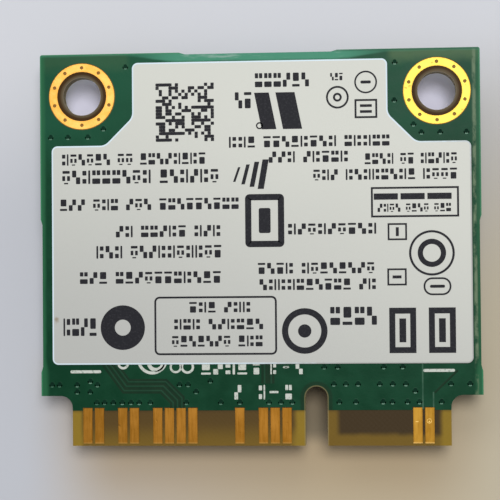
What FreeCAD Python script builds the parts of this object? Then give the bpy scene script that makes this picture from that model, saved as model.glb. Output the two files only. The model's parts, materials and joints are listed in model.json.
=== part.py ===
import FreeCAD, Part
import math
import os

import Sketcher
from FreeCAD import Placement, Rotation, Vector

# Half-length wireless card for the 52-way card-edge socket of a laptop.
# The card lies label side up, on the lid of its shield can. X runs across its 30 mm width,
# +Y points from the contact tongue to the two screw holes, and +Z is up. The origin is below
# the middle of the card, on the plane that the lid rests on. Lengths are millimetres.

DRIVING_SIZES = {
    # Tongue and contacts
    "contactPitch": 0.8,
    "contactWidth": 0.62,
    "contactLength": 2.4,
    "contactSetback": 0.16,
    "contactThick": 0.045,
    "keyToContact": 2.0,
    "longBlockMargin": 1.05,
    "shortBlockMargin": 1.45,
    "tongueLength": 3.4,
    "keyWidth": 1.5,
    "keyDepth": 4.0,
    # Board
    "boardLength": 26.8,
    "shoulderWidth": 2.15,
    "shoulderRadius": 0.8,
    "shoulderLand": 0.2,
    "coreThick": 0.94,
    "maskThick": 0.03,
    "contactTuck": 0.16,
    "maskGap": 0.05,
    "cornerRadius": 0.15,
    "routeRelief": 0.12,
    "routeRun": 0.4,
    "routeTopHalf": 5.4,
    "routeAboveShoulder": 1.6,
    "routeBelowHole": 8.4,
    # Screw holes and the plated rings round them
    "holeInset": 2.9,
    "holeSize": 2.6,
    "ringCollar": 0.4,
    "ringWidth": 0.55,
    "ringThick": 0.06,
    "ringViaSize": 0.27,
    # Label
    "labelThick": 0.08,
    "labelSideMargin": 0.72,
    "labelTopMargin": 0.66,
    "labelAboveShoulder": 2.13,
    "labelScrewGap": 3.4,
    "labelCut": 1.9,
    "labelCutRadius": 0.8,
    "labelRadius": 0.4,
    "labelShift": 0.08,
    # Shield can: a lid that snaps over a frame
    "canHeight": 2.2,
    "canSideMargin": 0.6,
    "canBelowHole": 1.6,
    "canAboveShoulder": 0.7,
    "canRadius": 0.7,
    "screwKeepout": 2.6,
    "lidThick": 0.15,
    "lidSkirt": 1.25,
    "lidBend": 0.12,
    "lidCornerGap": 0.8,
    "slotWidth": 0.3,
    "slotPitch": 3.6,
    "dimpleSize": 0.5,
    "dimpleDepth": 0.07,
    "dimpleToEdge": 0.5,
    "dimplePlay": 0.05,
    "lidPlay": 0.02,
    "frameThick": 0.15,
    "frameFlange": 0.9,
    "windowRadius": 0.4,
    "bridgeWidth": 2.2,
    "pickupSize": 5.0,
    "footGapWidth": 1.5,
    "footGapHeight": 0.25,
    "footGapPitch": 3.8,
    # Coaxial antenna sockets
    "socketToHole": 4.6,
    "socketFromTop": 2.2,
    "socketBase": 2.6,
    "socketBaseThick": 0.35,
    "socketBevel": 0.35,
    "socketHeight": 1.25,
    "socketRing": 2.0,
    "socketWall": 0.16,
    "socketGroove": 0.07,
    "socketLip": 0.3,
    "socketPinSize": 0.5,
    "socketPinHeight": 1.0,
    "socketStrapWidth": 1.2,
    "socketStrapThick": 0.12,
    "socketFoot": 0.25,
    "socketLeadWidth": 0.6,
    "socketLeadThick": 0.1,
    # Packages on the component side
    "solderGap": 0.05,
    "partGap": 0.7,
    "landLength": 0.35,
    "landWidth": 0.3,
    "landPitch": 0.65,
    "heatPadShare": 0.5,
    "markSize": 0.4,
    "markInset": 0.45,
    "markDepth": 0.05,
    "basebandSide": 6.5,
    "basebandHeight": 0.85,
    "radioSide": 4.0,
    "radioHeight": 0.8,
    "regulatorSide": 3.0,
    "regulatorHeight": 0.75,
    "frontEndSide": 2.0,
    "frontEndHeight": 0.6,
    "memoryLength": 3.0,
    "memoryWidth": 2.0,
    "memoryHeight": 0.6,
    "crystalLength": 3.2,
    "crystalWidth": 2.5,
    "crystalBase": 0.45,
    "crystalLid": 0.2,
    "crystalRim": 0.15,
    "crystalPad": 0.8,
    # Chip parts with a metal cap at each end
    "capShare": 0.22,
    "capThick": 0.02,
    "smallLength": 1.0,
    "smallWidth": 0.5,
    "smallHeight": 0.5,
    "smallPitch": 1.3,
    "resistorHeight": 0.35,
    "bulkLength": 1.6,
    "bulkWidth": 0.8,
    "bulkHeight": 0.8,
    "filterLength": 2.0,
    "filterWidth": 1.25,
    "filterHeight": 0.9,
    "coilLength": 2.5,
    "coilWidth": 2.0,
    "coilHeight": 1.0,
}

# The socket has 26 places on each side: 18 in the long block and 8 in the short one.
LONG_BLOCK = 18
SHORT_BLOCK = 8
# Places that this card fills. The long block counts from its outer end, the short from the key.
LABEL_SIDE_LONG = (0, 1, 3, 4, 6, 7, 8, 9, 13, 15, 16, 17)
LABEL_SIDE_SHORT = (6, 7)
COMPONENT_SIDE_LONG = (0, 4, 5, 6, 7, 8, 9, 10, 11, 12, 13, 14, 15)
COMPONENT_SIDE_SHORT = (0, 1, 2, 3, 4, 5, 7)
RING_VIAS = 10
# A 45 degree corner cut shortens by this much for each unit that its outline moves inwards.
CUT_PER_INSET = 2 - math.sqrt(2)

doc = FreeCAD.newDocument("WirelessCard")
sizes = doc.addObject("Spreadsheet::Sheet", "Sizes")
places = doc.addObject("Spreadsheet::Sheet", "Places")


# Sizes that carry their formula


class Size:
    """A length together with the formula that gives it from the spreadsheets."""

    def __init__(self, value, formula):
        self.value = float(value)
        self.formula = formula

    def joined(self, other, sign, value):
        return Size(value, f"({self.formula} {sign} {other.formula})")

    def __add__(self, other):
        other = as_size(other)
        return self.joined(other, "+", self.value + other.value)

    def __sub__(self, other):
        other = as_size(other)
        return self.joined(other, "-", self.value - other.value)

    def __mul__(self, other):
        other = as_size(other)
        return self.joined(other, "*", self.value * other.value)

    def __truediv__(self, other):
        other = as_size(other)
        return self.joined(other, "/", self.value / other.value)

    def __radd__(self, other):
        return as_size(other) + self

    def __rsub__(self, other):
        return as_size(other) - self

    def __rmul__(self, other):
        return as_size(other) * self

    def __neg__(self):
        return as_size(0) - self


def as_size(number):
    if isinstance(number, Size):
        return number
    return Size(number, f"({number:.9f})")


def smaller(first, second):
    first, second = as_size(first), as_size(second)
    return Size(min(first.value, second.value), f"min({first.formula}; {second.formula})")


def fill_sizes():
    """Gives each driving size a cell of its own."""
    cells = {}
    for row, (name, value) in enumerate(DRIVING_SIZES.items(), start=1):
        sizes.set(f"A{row}", name)
        sizes.set(f"B{row}", str(value))
        sizes.setAlias(f"B{row}", name)
        cells[name] = Size(value, f"Sizes.{name}")
    sizes.recompute()
    return cells


size = fill_sizes()
placeNames = []


def place(name, length):
    """Gives a length that follows from the sizes a cell of its own."""
    placeNames.append(name)
    row = len(placeNames)
    places.set(f"A{row}", name)
    places.set(f"B{row}", f"={length.formula}")
    places.setAlias(f"B{row}", name)
    return Size(length.value, f"Places.{name}")


# Places on the board

blockRuns = size["contactPitch"] * (LONG_BLOCK - 1 + SHORT_BLOCK - 1)
tongueWidth = place(
    "tongueWidth",
    blockRuns + size["keyToContact"] * 2 + size["longBlockMargin"] + size["shortBlockMargin"],
)
tongueHalf = place("tongueHalf", tongueWidth / 2)
boardHalf = place("boardHalf", tongueHalf + size["shoulderWidth"])
boardTop = place("boardTop", size["boardLength"] / 2)
tongueEnd = place("tongueEnd", -boardTop)
shoulderY = place("shoulderY", tongueEnd + size["tongueLength"])
keyX = place(
    "keyX",
    tongueHalf
    - size["shortBlockMargin"]
    - size["contactPitch"] * (SHORT_BLOCK - 1)
    - size["keyToContact"],
)
contactEndY = place("contactEndY", tongueEnd + size["contactSetback"])
contactTopY = place("contactTopY", contactEndY + size["contactLength"])
maskEdgeY = place("maskEdgeY", contactTopY - size["contactTuck"])
holeX = place("holeX", boardHalf - size["holeInset"])
holeY = place("holeY", boardTop - size["holeInset"])
ringInside = place("ringInside", size["holeSize"] + size["ringCollar"] * 2)
ringOutside = place("ringOutside", ringInside + size["ringWidth"] * 2)

# Levels, from the plane under the lid upwards

underZ = size["canHeight"]
coreZ = place("coreZ", underZ + size["maskThick"])
coreTopZ = place("coreTopZ", coreZ + size["coreThick"])
labelSideZ = place("labelSideZ", coreTopZ + size["maskThick"])

# The shield can's outline and the room inside its frame

canHalf = place("canHalf", boardHalf - size["canSideMargin"])
canTop = place("canTop", holeY - size["canBelowHole"])
canBottom = place("canBottom", shoulderY + size["canAboveShoulder"])
canCut = place(
    "canCut", canHalf + canTop - holeX - holeY + size["screwKeepout"] * math.sqrt(2)
)
canStraightMiddle = place("canStraightMiddle", (canTop - canCut + canBottom) / 2)
frameInset = place("frameInset", size["lidThick"] + size["lidPlay"])
insideInset = place("insideInset", frameInset + size["frameThick"])
insideTop = place("insideTop", canTop - insideInset)
insideBottom = place("insideBottom", canBottom + insideInset)

# Three rows of packages share the room inside the frame, with equal gaps above and below

rowGap = place(
    "rowGap",
    (insideTop - insideBottom - size["frontEndSide"] - size["radioSide"] - size["basebandSide"])
    / 4,
)
frontEndY = place("frontEndY", insideTop - rowGap - size["frontEndSide"] / 2)
radioY = place("radioY", frontEndY - (size["frontEndSide"] + size["radioSide"]) / 2 - rowGap)
basebandY = place("basebandY", radioY - (size["radioSide"] + size["basebandSide"]) / 2 - rowGap)
socketX = place("socketX", holeX - size["socketToHole"])
socketY = place("socketY", boardTop - size["socketFromTop"])


# Document helpers


def bind(thing, path, length):
    thing.setExpression(path, as_size(length).formula)


def origin_plane(body, role):
    return next(plane for plane in body.Origin.OriginFeatures if plane.Role == role)


def new_body(name, x=0, y=0, z=0):
    """A sub-part, which may hold several like solids, with its origin at x, y, z."""
    body = doc.addObject("PartDesign::Body", name)
    body.Label = name
    body.AllowCompound = True
    for axis, length in zip("xyz", (x, y, z)):
        bind(body, f"Placement.Base.{axis}", length)
    return body


class Drawing:
    """A sketch on one of its body's own planes, with every point held by the sheets' values."""

    def __init__(self, body, name, role="XY_Plane", offset=0):
        self.sketch = body.newObject("Sketcher::SketchObject", f"{body.Name}_{name}")
        self.sketch.AttachmentSupport = [(origin_plane(body, role), "")]
        self.sketch.MapMode = "FlatFace"
        bind(self.sketch, "AttachmentOffset.Base.z", offset)
        self.constraints = []
        self.formulas = []

    def hold(self, kind, *arguments, formula=None):
        self.constraints.append(Sketcher.Constraint(kind, *arguments))
        self.formulas.append(formula)

    def point(self, geometry, end, x, y):
        """Ties one point of a curve to its two coordinates."""
        self.coordinate("DistanceX", -2, geometry, end, as_size(x))
        self.coordinate("DistanceY", -1, geometry, end, as_size(y))

    def coordinate(self, kind, axis, geometry, end, length):
        if length.formula == as_size(0).formula:
            self.hold("PointOnObject", geometry, end, axis)
        else:
            self.hold(kind, -1, 1, geometry, end, length.value, formula=length.formula)

    def line(self, begin, end):
        begin = Vector(as_size(begin[0]).value, as_size(begin[1]).value)
        end = Vector(as_size(end[0]).value, as_size(end[1]).value)
        return self.sketch.addGeometry(Part.LineSegment(begin, end))

    def circle(self, x, y, diameter):
        x, y, diameter = as_size(x), as_size(y), as_size(diameter)
        circle = Part.Circle(Vector(x.value, y.value), Vector(0, 0, 1), diameter.value / 2)
        index = self.sketch.addGeometry(circle)
        self.point(index, 3, x, y)
        self.hold("Diameter", index, diameter.value, formula=diameter.formula)

    def dot(self, x, y, width, corners=8):
        """A round detail under a millimetre wide, drawn with as few corners as it needs."""
        turns = [math.tau * (step + 0.5) / corners for step in range(corners)]
        radius = width / 2
        self.outline(
            [(x + radius * math.cos(turn), y + radius * math.sin(turn)) for turn in turns]
        )

    def rectangle(self, x, y, width, height):
        """A rectangle about the point x, y."""
        left, right = x - width / 2, x + width / 2
        low, high = y - height / 2, y + height / 2
        self.outline([(left, low), (right, low), (right, high), (left, high)])

    def outline(self, corners):
        """A closed outline whose corners are (x, y), or (x, y, radius) where rounded."""
        corners = [tuple(as_size(part) for part in corner) for corner in corners]
        count = len(corners)
        rounds = [
            corner_round(corners[index - 1], corners[index], corners[(index + 1) % count])
            for index in range(count)
        ]
        lines = [
            self.line(rounds[index][1], rounds[(index + 1) % count][0]) for index in range(count)
        ]
        for index, (start, finish, arc) in enumerate(rounds):
            self.point(lines[index], 1, *finish)
            if arc is None:
                self.hold("Coincident", lines[index - 1], 2, lines[index], 1)
            else:
                self.point(lines[index - 1], 2, *start)
                self.corner_arc(arc, lines[index - 1], lines[index])

    def corner_arc(self, arc, line_in, line_out):
        centre, radius, left, first, last = arc
        circle = Part.Circle(centre, Vector(0, 0, 1), radius.value)
        curve = self.sketch.addGeometry(Part.ArcOfCircle(circle, first, last))
        self.hold("Coincident", curve, 1 if left else 2, line_in, 2)
        self.hold("Coincident", curve, 2 if left else 1, line_out, 1)
        self.hold("Radius", curve, radius.value, formula=radius.formula)

    def round_slot(self, x, low, high, width):
        """An upright slot with a round upper end whose crown is at high."""
        left, right, top = x - width / 2, x + width / 2, high - width / 2
        corners = [(left, top), (left, low), (right, low), (right, top)]
        lines = [self.line(begin, end) for begin, end in zip(corners, corners[1:])]
        for line, corner in zip(lines, corners):
            self.point(line, 1, *corner)
        self.point(lines[-1], 2, *corners[-1])
        for line, following in zip(lines, lines[1:]):
            self.hold("Coincident", line, 2, following, 1)
        circle = Part.Circle(Vector(x.value, top.value), Vector(0, 0, 1), width.value / 2)
        crown = self.sketch.addGeometry(Part.ArcOfCircle(circle, 0, math.pi))
        self.hold("Coincident", crown, 1, lines[-1], 2)
        self.hold("Coincident", crown, 2, lines[0], 1)
        self.coordinate("DistanceY", -1, crown, 3, top)

    def finished(self):
        """Hands the constraints over together and binds each to its formula."""
        indices = self.sketch.addConstraint(self.constraints)
        for index, formula in zip(indices, self.formulas):
            if formula is not None:
                self.sketch.setExpression(f"Constraints[{index}]", formula)
        return self.sketch


def corner_round(before, corner, after):
    """Where a corner's rounding starts and finishes, and its arc if it has one."""
    if len(corner) == 2:
        return corner, corner, None
    x, y, radius = corner
    way_in = Vector(x.value - before[0].value, y.value - before[1].value).normalize()
    way_out = Vector(after[0].value - x.value, after[1].value - y.value).normalize()
    turn = math.atan2(way_in.cross(way_out).z, way_in.dot(way_out))
    run = math.tan(abs(turn) / 2)
    start = (x - radius * (run * way_in.x), y - radius * (run * way_in.y))
    finish = (x + radius * (run * way_out.x), y + radius * (run * way_out.y))
    left = turn > 0
    side = radius.value if left else -radius.value
    centre = Vector(start[0].value - way_in.y * side, start[1].value + way_in.x * side)
    ends = [start, finish] if left else [finish, start]
    angles = [math.atan2(end[1].value - centre.y, end[0].value - centre.x) for end in ends]
    return start, finish, (centre, radius, left, *angles)


def block_group(name, blocks, z, height):
    """Separate blocks (x, y, width, length) that all stand from z to the same height."""
    boxes = []
    for index, (x, y, width, length) in enumerate(blocks, start=1):
        box = doc.addObject("Part::Box", f"{name}_block_{index}")
        bind(box, "Length", width)
        bind(box, "Width", length)
        bind(box, "Height", height)
        bind(box, "Placement.Base.x", x - width / 2)
        bind(box, "Placement.Base.y", y - length / 2)
        boxes.append(box)
    group = doc.addObject("Part::Compound", name)
    group.Label = name
    group.Links = boxes
    bind(group, "Placement.Base.z", z)
    return group


def add_pad(body, drawing, name, length, downwards=False):
    feature = body.newObject("PartDesign::Pad", f"{body.Name}_{name}")
    feature.Profile = drawing.finished()
    feature.Reversed = downwards
    bind(feature, "Length", length)
    doc.recompute()
    return feature


def add_pocket(body, drawing, name, depth=None, both_ways=False, downwards=False):
    """A cut from a sketch, through everything if no depth is given."""
    volume = body.Shape.Volume
    feature = body.newObject("PartDesign::Pocket", f"{body.Name}_{name}")
    feature.Profile = drawing.finished()
    feature.Reversed = not downwards
    feature.Midplane = both_ways
    if depth is None:
        feature.Type = "ThroughAll"
    else:
        bind(feature, "Length", depth)
    doc.recompute()
    if not body.Shape.Volume < volume:
        raise RuntimeError(f"{feature.Name} cuts nothing")
    return feature


def add_revolution(body, drawing, name):
    feature = body.newObject("PartDesign::Revolution", f"{body.Name}_{name}")
    feature.Profile = drawing.finished()
    feature.ReferenceAxis = (drawing.sketch, ["V_Axis"])
    feature.Angle = 360
    doc.recompute()
    return feature


def flat_face(feature, level):
    """The name of the face of a feature that lies flat at a level."""
    for index, face in enumerate(feature.Shape.Faces, start=1):
        box = face.BoundBox
        if abs(box.ZMin - level) < 1e-6 and abs(box.ZMax - level) < 1e-6:
            return f"Face{index}"
    raise RuntimeError(f"{feature.Name} has no face at {level}")


# Board, solder mask, plated rings, edge contacts and label


def mirrored_corners(right):
    """The corners of an outline from those of its right half, which runs upwards."""
    return right + [(-corner[0], *corner[1:]) for corner in reversed(right)]


def board_blank(name, thickness, z):
    """The board's routed outline with its key slot, and shallow steps where the cutter paused."""
    relief, run = size["routeRelief"], size["routeRun"]
    low = shoulderY + size["routeAboveShoulder"]
    high = holeY - size["routeBelowHole"]
    top = size["routeTopHalf"]
    shoulder = smaller(size["shoulderRadius"], size["shoulderWidth"] - size["shoulderLand"])
    corners = mirrored_corners(
        [
            (tongueHalf, tongueEnd),
            (tongueHalf, shoulderY, shoulder),
            (boardHalf, shoulderY),
            (boardHalf, low),
            (boardHalf - relief, low + run),
            (boardHalf - relief, high - run),
            (boardHalf, high),
            (boardHalf, boardTop, size["cornerRadius"]),
            (top, boardTop),
            (top - run, boardTop - relief),
        ]
    )
    body = new_body(name, z=z)
    outline = Drawing(body, "outline")
    outline.outline(corners)
    add_pad(body, outline, "sheet", thickness)
    key = Drawing(body, "key_outline")
    past_end = tongueEnd - size["keyWidth"]
    key.round_slot(keyX, past_end, tongueEnd + size["keyDepth"], size["keyWidth"])
    add_pocket(body, key, "key")
    return body


def make_circuit_board():
    body = board_blank("circuit_board", size["coreThick"], coreZ)
    holes = Drawing(body, "hole_outlines")
    for x in (-holeX, holeX):
        holes.circle(x, holeY, size["holeSize"])
    add_pocket(body, holes, "screw_holes")
    return [body]


def contact_places(long_places, short_places):
    pitch = size["contactPitch"]
    first_long = keyX - size["keyToContact"] - pitch * (LONG_BLOCK - 1)
    first_short = keyX + size["keyToContact"]
    long_block = [first_long + pitch * step for step in long_places]
    return long_block + [first_short + pitch * step for step in short_places]


def make_contacts(name, xs, z):
    middle = (contactEndY + contactTopY) / 2
    fingers = [(x, middle, size["contactWidth"], size["contactLength"]) for x in xs]
    return block_group(name, fingers, z, size["contactThick"])


def make_mask(name, xs, z):
    """Solder mask, open round the plated rings, on the tongue and round each contact's end."""
    body = board_blank(name, size["maskThick"], z)
    rings = Drawing(body, "ring_outlines")
    for x in (-holeX, holeX):
        rings.circle(x, holeY, ringOutside + size["maskGap"] * 2)
    add_pocket(body, rings, "ring_openings")
    tongue = Drawing(body, "tongue_outline")
    reach = size["tongueLength"]
    tongue.rectangle(as_size(0), maskEdgeY - reach / 2, boardHalf * 2, reach)
    add_pocket(body, tongue, "tongue_opening")
    ends = Drawing(body, "contact_outlines")
    top = contactTopY + size["maskGap"]
    width = size["contactWidth"] + size["maskGap"] * 2
    for x in xs:
        ends.rectangle(x, (top + contactEndY) / 2, width, top - contactEndY)
    add_pocket(body, ends, "contact_openings")
    return body


def make_ring(name, x, z):
    """A plated ring round a screw hole, drilled with a circle of small vias."""
    body = new_body(name, x, holeY, z)
    ring = Drawing(body, "ring")
    ring.circle(0, 0, ringOutside)
    ring.circle(0, 0, ringInside)
    add_pad(body, ring, "plating", size["ringThick"])
    via = Drawing(body, "via_outline")
    via.dot(as_size(0), (ringInside + ringOutside) / 4, size["ringViaSize"], corners=6)
    hole = add_pocket(body, via, "via")
    circle = body.newObject("PartDesign::PolarPattern", f"{name}_via_circle")
    circle.Originals = [hole]
    circle.Axis = (via.sketch, ["N_Axis"])
    circle.Angle = 360
    circle.Occurrences = RING_VIAS
    body.Tip = circle
    return body


def make_label():
    """The film label, cut away at 45 degrees past the screw heads and stuck a little off centre."""
    side = boardHalf - size["labelSideMargin"]
    low = shoulderY + size["labelAboveShoulder"]
    top = boardTop - size["labelTopMargin"]
    step_x = holeX - size["labelScrewGap"]
    step_y = holeY - size["labelScrewGap"]
    cut, radius = size["labelCut"], size["labelRadius"]
    cut_radius = smaller(size["labelCutRadius"], cut)
    body = new_body("label", x=size["labelShift"], z=labelSideZ)
    outline = Drawing(body, "outline")
    outline.outline(
        mirrored_corners(
            [
                (side, low, radius),
                (side, step_y, radius),
                (step_x + cut, step_y, cut_radius),
                (step_x, step_y + cut, cut_radius),
                (step_x, top, radius),
            ]
        )
    )
    add_pad(body, outline, "film", size["labelThick"])
    return [body]


def make_board_parts():
    label_xs = contact_places(LABEL_SIDE_LONG, LABEL_SIDE_SHORT)
    component_xs = contact_places(COMPONENT_SIDE_LONG, COMPONENT_SIDE_SHORT)
    made = [
        make_contacts("edge_contacts_label_side", label_xs, coreTopZ),
        make_contacts(
            "edge_contacts_component_side", component_xs, coreZ - size["contactThick"]
        ),
        make_mask("solder_mask_label_side", label_xs, coreTopZ),
        make_mask("solder_mask_component_side", component_xs, underZ),
    ]
    for side, x in (("left", -holeX), ("right", holeX)):
        made.append(make_ring(f"screw_ring_{side}_label_side", x, coreTopZ))
        made.append(make_ring(f"screw_ring_{side}_component_side", x, coreZ - size["ringThick"]))
    return made


# Shield can


def can_corners(inset, radius):
    """The can's corners, cut at 45 degrees past the screw heads, with the walls moved inwards."""
    half = canHalf - inset
    top = canTop - inset
    cut = canCut - inset * CUT_PER_INSET
    return mirrored_corners(
        [
            (half, canBottom + inset, radius),
            (half, top - cut, radius),
            (half - cut, top, radius),
        ]
    )


def can_drawing(body, name, inset, level=0, radius=None):
    """The can's outline moved inwards, with parallel corners unless they have their own radius."""
    if radius is None:
        radius = smaller(size["canRadius"], canCut / 2) - inset
    drawing = Drawing(body, name, offset=level)
    drawing.outline(can_corners(as_size(inset), radius))
    return drawing


def cut_through_walls(body, name, role, centres, middle, width, height):
    """The same openings through two facing walls."""
    drawing = Drawing(body, f"{name}_outlines", role)
    for centre in centres:
        drawing.rectangle(centre, middle, width, height)
    add_pocket(body, drawing, name, both_ways=True)


def rows_about(middle, pitch, count):
    """Places at a pitch, spread evenly about the middle."""
    return [middle + pitch * (step - (count - 1) / 2) for step in range(count)]


def dimple_rows():
    """The snap dimples of each wall: plane, places along the wall, and the way out of the can."""
    pitch = size["slotPitch"]
    sides = rows_about(canStraightMiddle, pitch, 2)
    ends = rows_about(as_size(0), pitch * 3, 2)
    return [("YZ_Plane", sides, canHalf), ("YZ_Plane", sides, -canHalf)] + [
        ("XZ_Plane", ends, -canTop),
        ("XZ_Plane", ends, -canBottom),
    ]


def make_lid():
    """A drawn sheet lid whose skirt is slotted into spring fingers with snap dimples."""
    body = new_body("shield_lid")
    blank = add_pad(body, can_drawing(body, "outline", 0), "blank", size["lidSkirt"])
    bend = body.newObject("PartDesign::Fillet", "shield_lid_bend")
    bend.Base = (blank, [flat_face(blank, 0)])
    bind(bend, "Radius", size["lidBend"])
    doc.recompute()
    inside = can_drawing(body, "inside", size["lidThick"], size["lidThick"])
    add_pocket(body, inside, "hollow")
    depth = size["lidSkirt"] - size["lidThick"] * 2
    middle = size["lidSkirt"] - depth / 2
    for name, role, centre, count in (
        ("side_slots", "YZ_Plane", canStraightMiddle, 3),
        ("end_slots", "XZ_Plane", as_size(0), 5),
    ):
        centres = rows_about(centre, size["slotPitch"], count)
        cut_through_walls(body, name, role, centres, middle, size["slotWidth"], depth)
    corners = Drawing(body, "corner_outlines", offset=size["lidThick"])
    for corner in can_corners(as_size(0), size["canRadius"]):
        corners.dot(corner[0], corner[1], size["lidCornerGap"])
    add_pocket(body, corners, "corner_gaps")
    for index, (role, centres, wall) in enumerate(dimple_rows(), start=1):
        add_dimples(body, index, role, centres, wall)
    return [body]


def add_dimples(body, index, role, centres, wall):
    """Round dents pressed into a wall, which stand out by as much on its inner face."""
    height = size["lidSkirt"] - size["dimpleToEdge"]
    outwards = wall.value > 0
    inner = wall - size["lidThick"] if outwards else wall + size["lidThick"]
    boss = Drawing(body, f"boss_outlines_{index}", role, inner)
    dent = Drawing(body, f"dent_outlines_{index}", role, wall)
    for centre in centres:
        boss.dot(centre, height, size["dimpleSize"])
        dent.dot(centre, height, size["dimpleSize"])
    add_pad(body, boss, f"bosses_{index}", size["dimpleDepth"], downwards=outwards)
    add_pocket(body, dent, f"dents_{index}", size["dimpleDepth"], downwards=outwards)


def make_frame():
    """The fence soldered to the board: a flange under the lid, a bridge and a pick-up pad."""
    top = size["lidThick"]
    body = new_body("shield_frame")
    outline = can_drawing(body, "outline", frameInset, top)
    add_pad(body, outline, "blank", underZ - top)
    inside = can_drawing(body, "inside", insideInset, top + size["frameThick"])
    add_pocket(body, inside, "hollow")
    flange, corner = size["frameFlange"], size["windowRadius"]
    window = can_drawing(body, "window_outline", frameInset + flange, top, corner)
    add_pocket(body, window, "window")
    bridge = Drawing(body, "bridge_outline", offset=top)
    length = canTop - canBottom - frameInset * 2 - flange
    bridge.rectangle(as_size(0), (canTop + canBottom) / 2, size["bridgeWidth"], length)
    add_pad(body, bridge, "bridge", size["frameThick"])
    pickup = Drawing(body, "pickup_outline", offset=top)
    pickup.circle(0, (canTop + canBottom) / 2, size["pickupSize"])
    add_pad(body, pickup, "pickup", size["frameThick"])
    height = size["footGapHeight"]
    for name, role, centre, count in (
        ("side_feet", "YZ_Plane", canStraightMiddle, 3),
        ("end_feet", "XZ_Plane", as_size(0), 5),
    ):
        centres = rows_about(centre, size["footGapPitch"], count)
        cut_through_walls(
            body, name, role, centres, underZ - height / 2, size["footGapWidth"], height
        )
    dimple_z = size["lidSkirt"] - size["dimpleToEdge"]
    for name, role, centres in (
        ("side_catches", "YZ_Plane", dimple_rows()[0][1]),
        ("end_catches", "XZ_Plane", dimple_rows()[2][1]),
    ):
        catch = Drawing(body, f"{name}_outlines", role)
        for centre in centres:
            catch.dot(centre, dimple_z, size["dimpleSize"] + size["dimplePlay"] * 2)
        add_pocket(body, catch, name, both_ways=True)
    return [body]


# Coaxial antenna sockets, drawn standing on their own feet and hung under the board


def hung_body(name, x, y):
    body = new_body(name)
    body.Placement = Placement(Vector(), Rotation(Vector(0, 1, 0), 180))
    for axis, length in zip("xyz", (x, y, underZ)):
        bind(body, f"Placement.Base.{axis}", length)
    return body


def make_socket_base(name, x):
    """The insulator, bevelled at its corners, with a channel for the centre contact's lead."""
    half, bevel = size["socketBase"] / 2, size["socketBevel"]
    body = hung_body(name, x, socketY)
    outline = Drawing(body, "outline")
    outline.outline(
        mirrored_corners(
            [
                (half - bevel, -half),
                (half, -half + bevel),
                (half, half - bevel),
                (half - bevel, half),
            ]
        )
    )
    add_pad(body, outline, "block", size["socketBaseThick"])
    hole = Drawing(body, "pin_outline")
    hole.circle(0, 0, size["socketPinSize"])
    add_pocket(body, hole, "pin_hole")
    channel = Drawing(body, "lead_outline")
    channel.rectangle(as_size(0), -half / 2, size["socketLeadWidth"], half)
    add_pocket(body, channel, "lead_channel", size["socketLeadThick"])
    return body


def make_socket_shell(name, x):
    """The ground contact: a grooved ring on two straps that fold down to solder feet."""
    base, half = size["socketBaseThick"], size["socketBase"] / 2
    thick, ring = size["socketStrapThick"], size["socketRing"] / 2
    body = hung_body(name, x, socketY)
    straps = Drawing(body, "strap_profile", "XZ_Plane", -size["socketStrapWidth"] / 2)
    foot = half + thick + size["socketFoot"]
    for side in (1, -1):
        straps.outline(
            [
                (ring * side / 2, base),
                (half * side, base),
                (half * side, 0),
                (foot * side, 0),
                (foot * side, thick),
                ((half + thick) * side, thick),
                ((half + thick) * side, base + thick),
                (ring * side / 2, base + thick),
            ]
        )
    add_pad(body, straps, "straps", size["socketStrapWidth"])
    inner = ring - size["socketWall"]
    waist = ring - size["socketGroove"]
    top, lip = size["socketHeight"], size["socketLip"]
    wall = Drawing(body, "ring_profile", "XZ_Plane")
    wall.outline(
        [
            (inner, base),
            (ring, base),
            (ring, base + thick),
            (waist, base + thick * 2),
            (waist, top - lip),
            (ring, top - lip + size["socketGroove"]),
            (ring, top - size["socketGroove"]),
            (ring - size["socketGroove"], top),
            (inner, top),
        ]
    )
    add_revolution(body, wall, "ring")
    bore = Drawing(body, "bore_outline", offset=base)
    bore.circle(0, 0, inner * 2)
    add_pocket(body, bore, "bore")
    return body


def make_socket_pin(name, x):
    """The centre contact: a pin with a chamfered tip, and its lead out to a solder foot."""
    radius, height = size["socketPinSize"] / 2, size["socketPinHeight"]
    tip = radius / 2
    body = hung_body(name, x, socketY)
    profile = Drawing(body, "pin_profile", "XZ_Plane")
    profile.outline([(0, 0), (radius, 0), (radius, height - tip), (tip, height), (0, height)])
    add_revolution(body, profile, "pin")
    lead = Drawing(body, "lead_outline")
    reach = size["socketBase"] / 2 + size["socketFoot"]
    lead.rectangle(as_size(0), -reach / 2, size["socketLeadWidth"], reach)
    add_pad(body, lead, "lead", size["socketLeadThick"])
    return body


def make_sockets():
    made = []
    for side, x in (("left", -socketX), ("right", socketX)):
        made.append(make_socket_base(f"antenna_socket_base_{side}", x))
        made.append(make_socket_shell(f"antenna_socket_shell_{side}", x))
        made.append(make_socket_pin(f"antenna_socket_pin_{side}", x))
    return made


# Packages and chip parts, which hang from the component side of the board


def hung_blocks(name, blocks, depth, height):
    """Blocks whose upper face lies at a depth below the board."""
    return block_group(name, blocks, underZ - depth - height, height)


def edge_lands(x, y, width, length):
    """Solder lands along the four edges of a package, and the pad under its middle."""
    reach, broad, pitch = size["landLength"], size["landWidth"], size["landPitch"]
    lands = [(x, y, width * size["heatPadShare"], length * size["heatPadShare"])]
    for across, along, upright in ((width, length, True), (length, width, False)):
        room = along - reach * 4
        count = int(room.value / pitch.value) + 1
        for step in rows_about(as_size(0), pitch, count):
            for side in (1, -1):
                edge = (across - reach) * side / 2
                if upright:
                    lands.append((x + edge, y + step, reach, broad))
                else:
                    lands.append((x + step, y + edge, broad, reach))
    return lands


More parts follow.
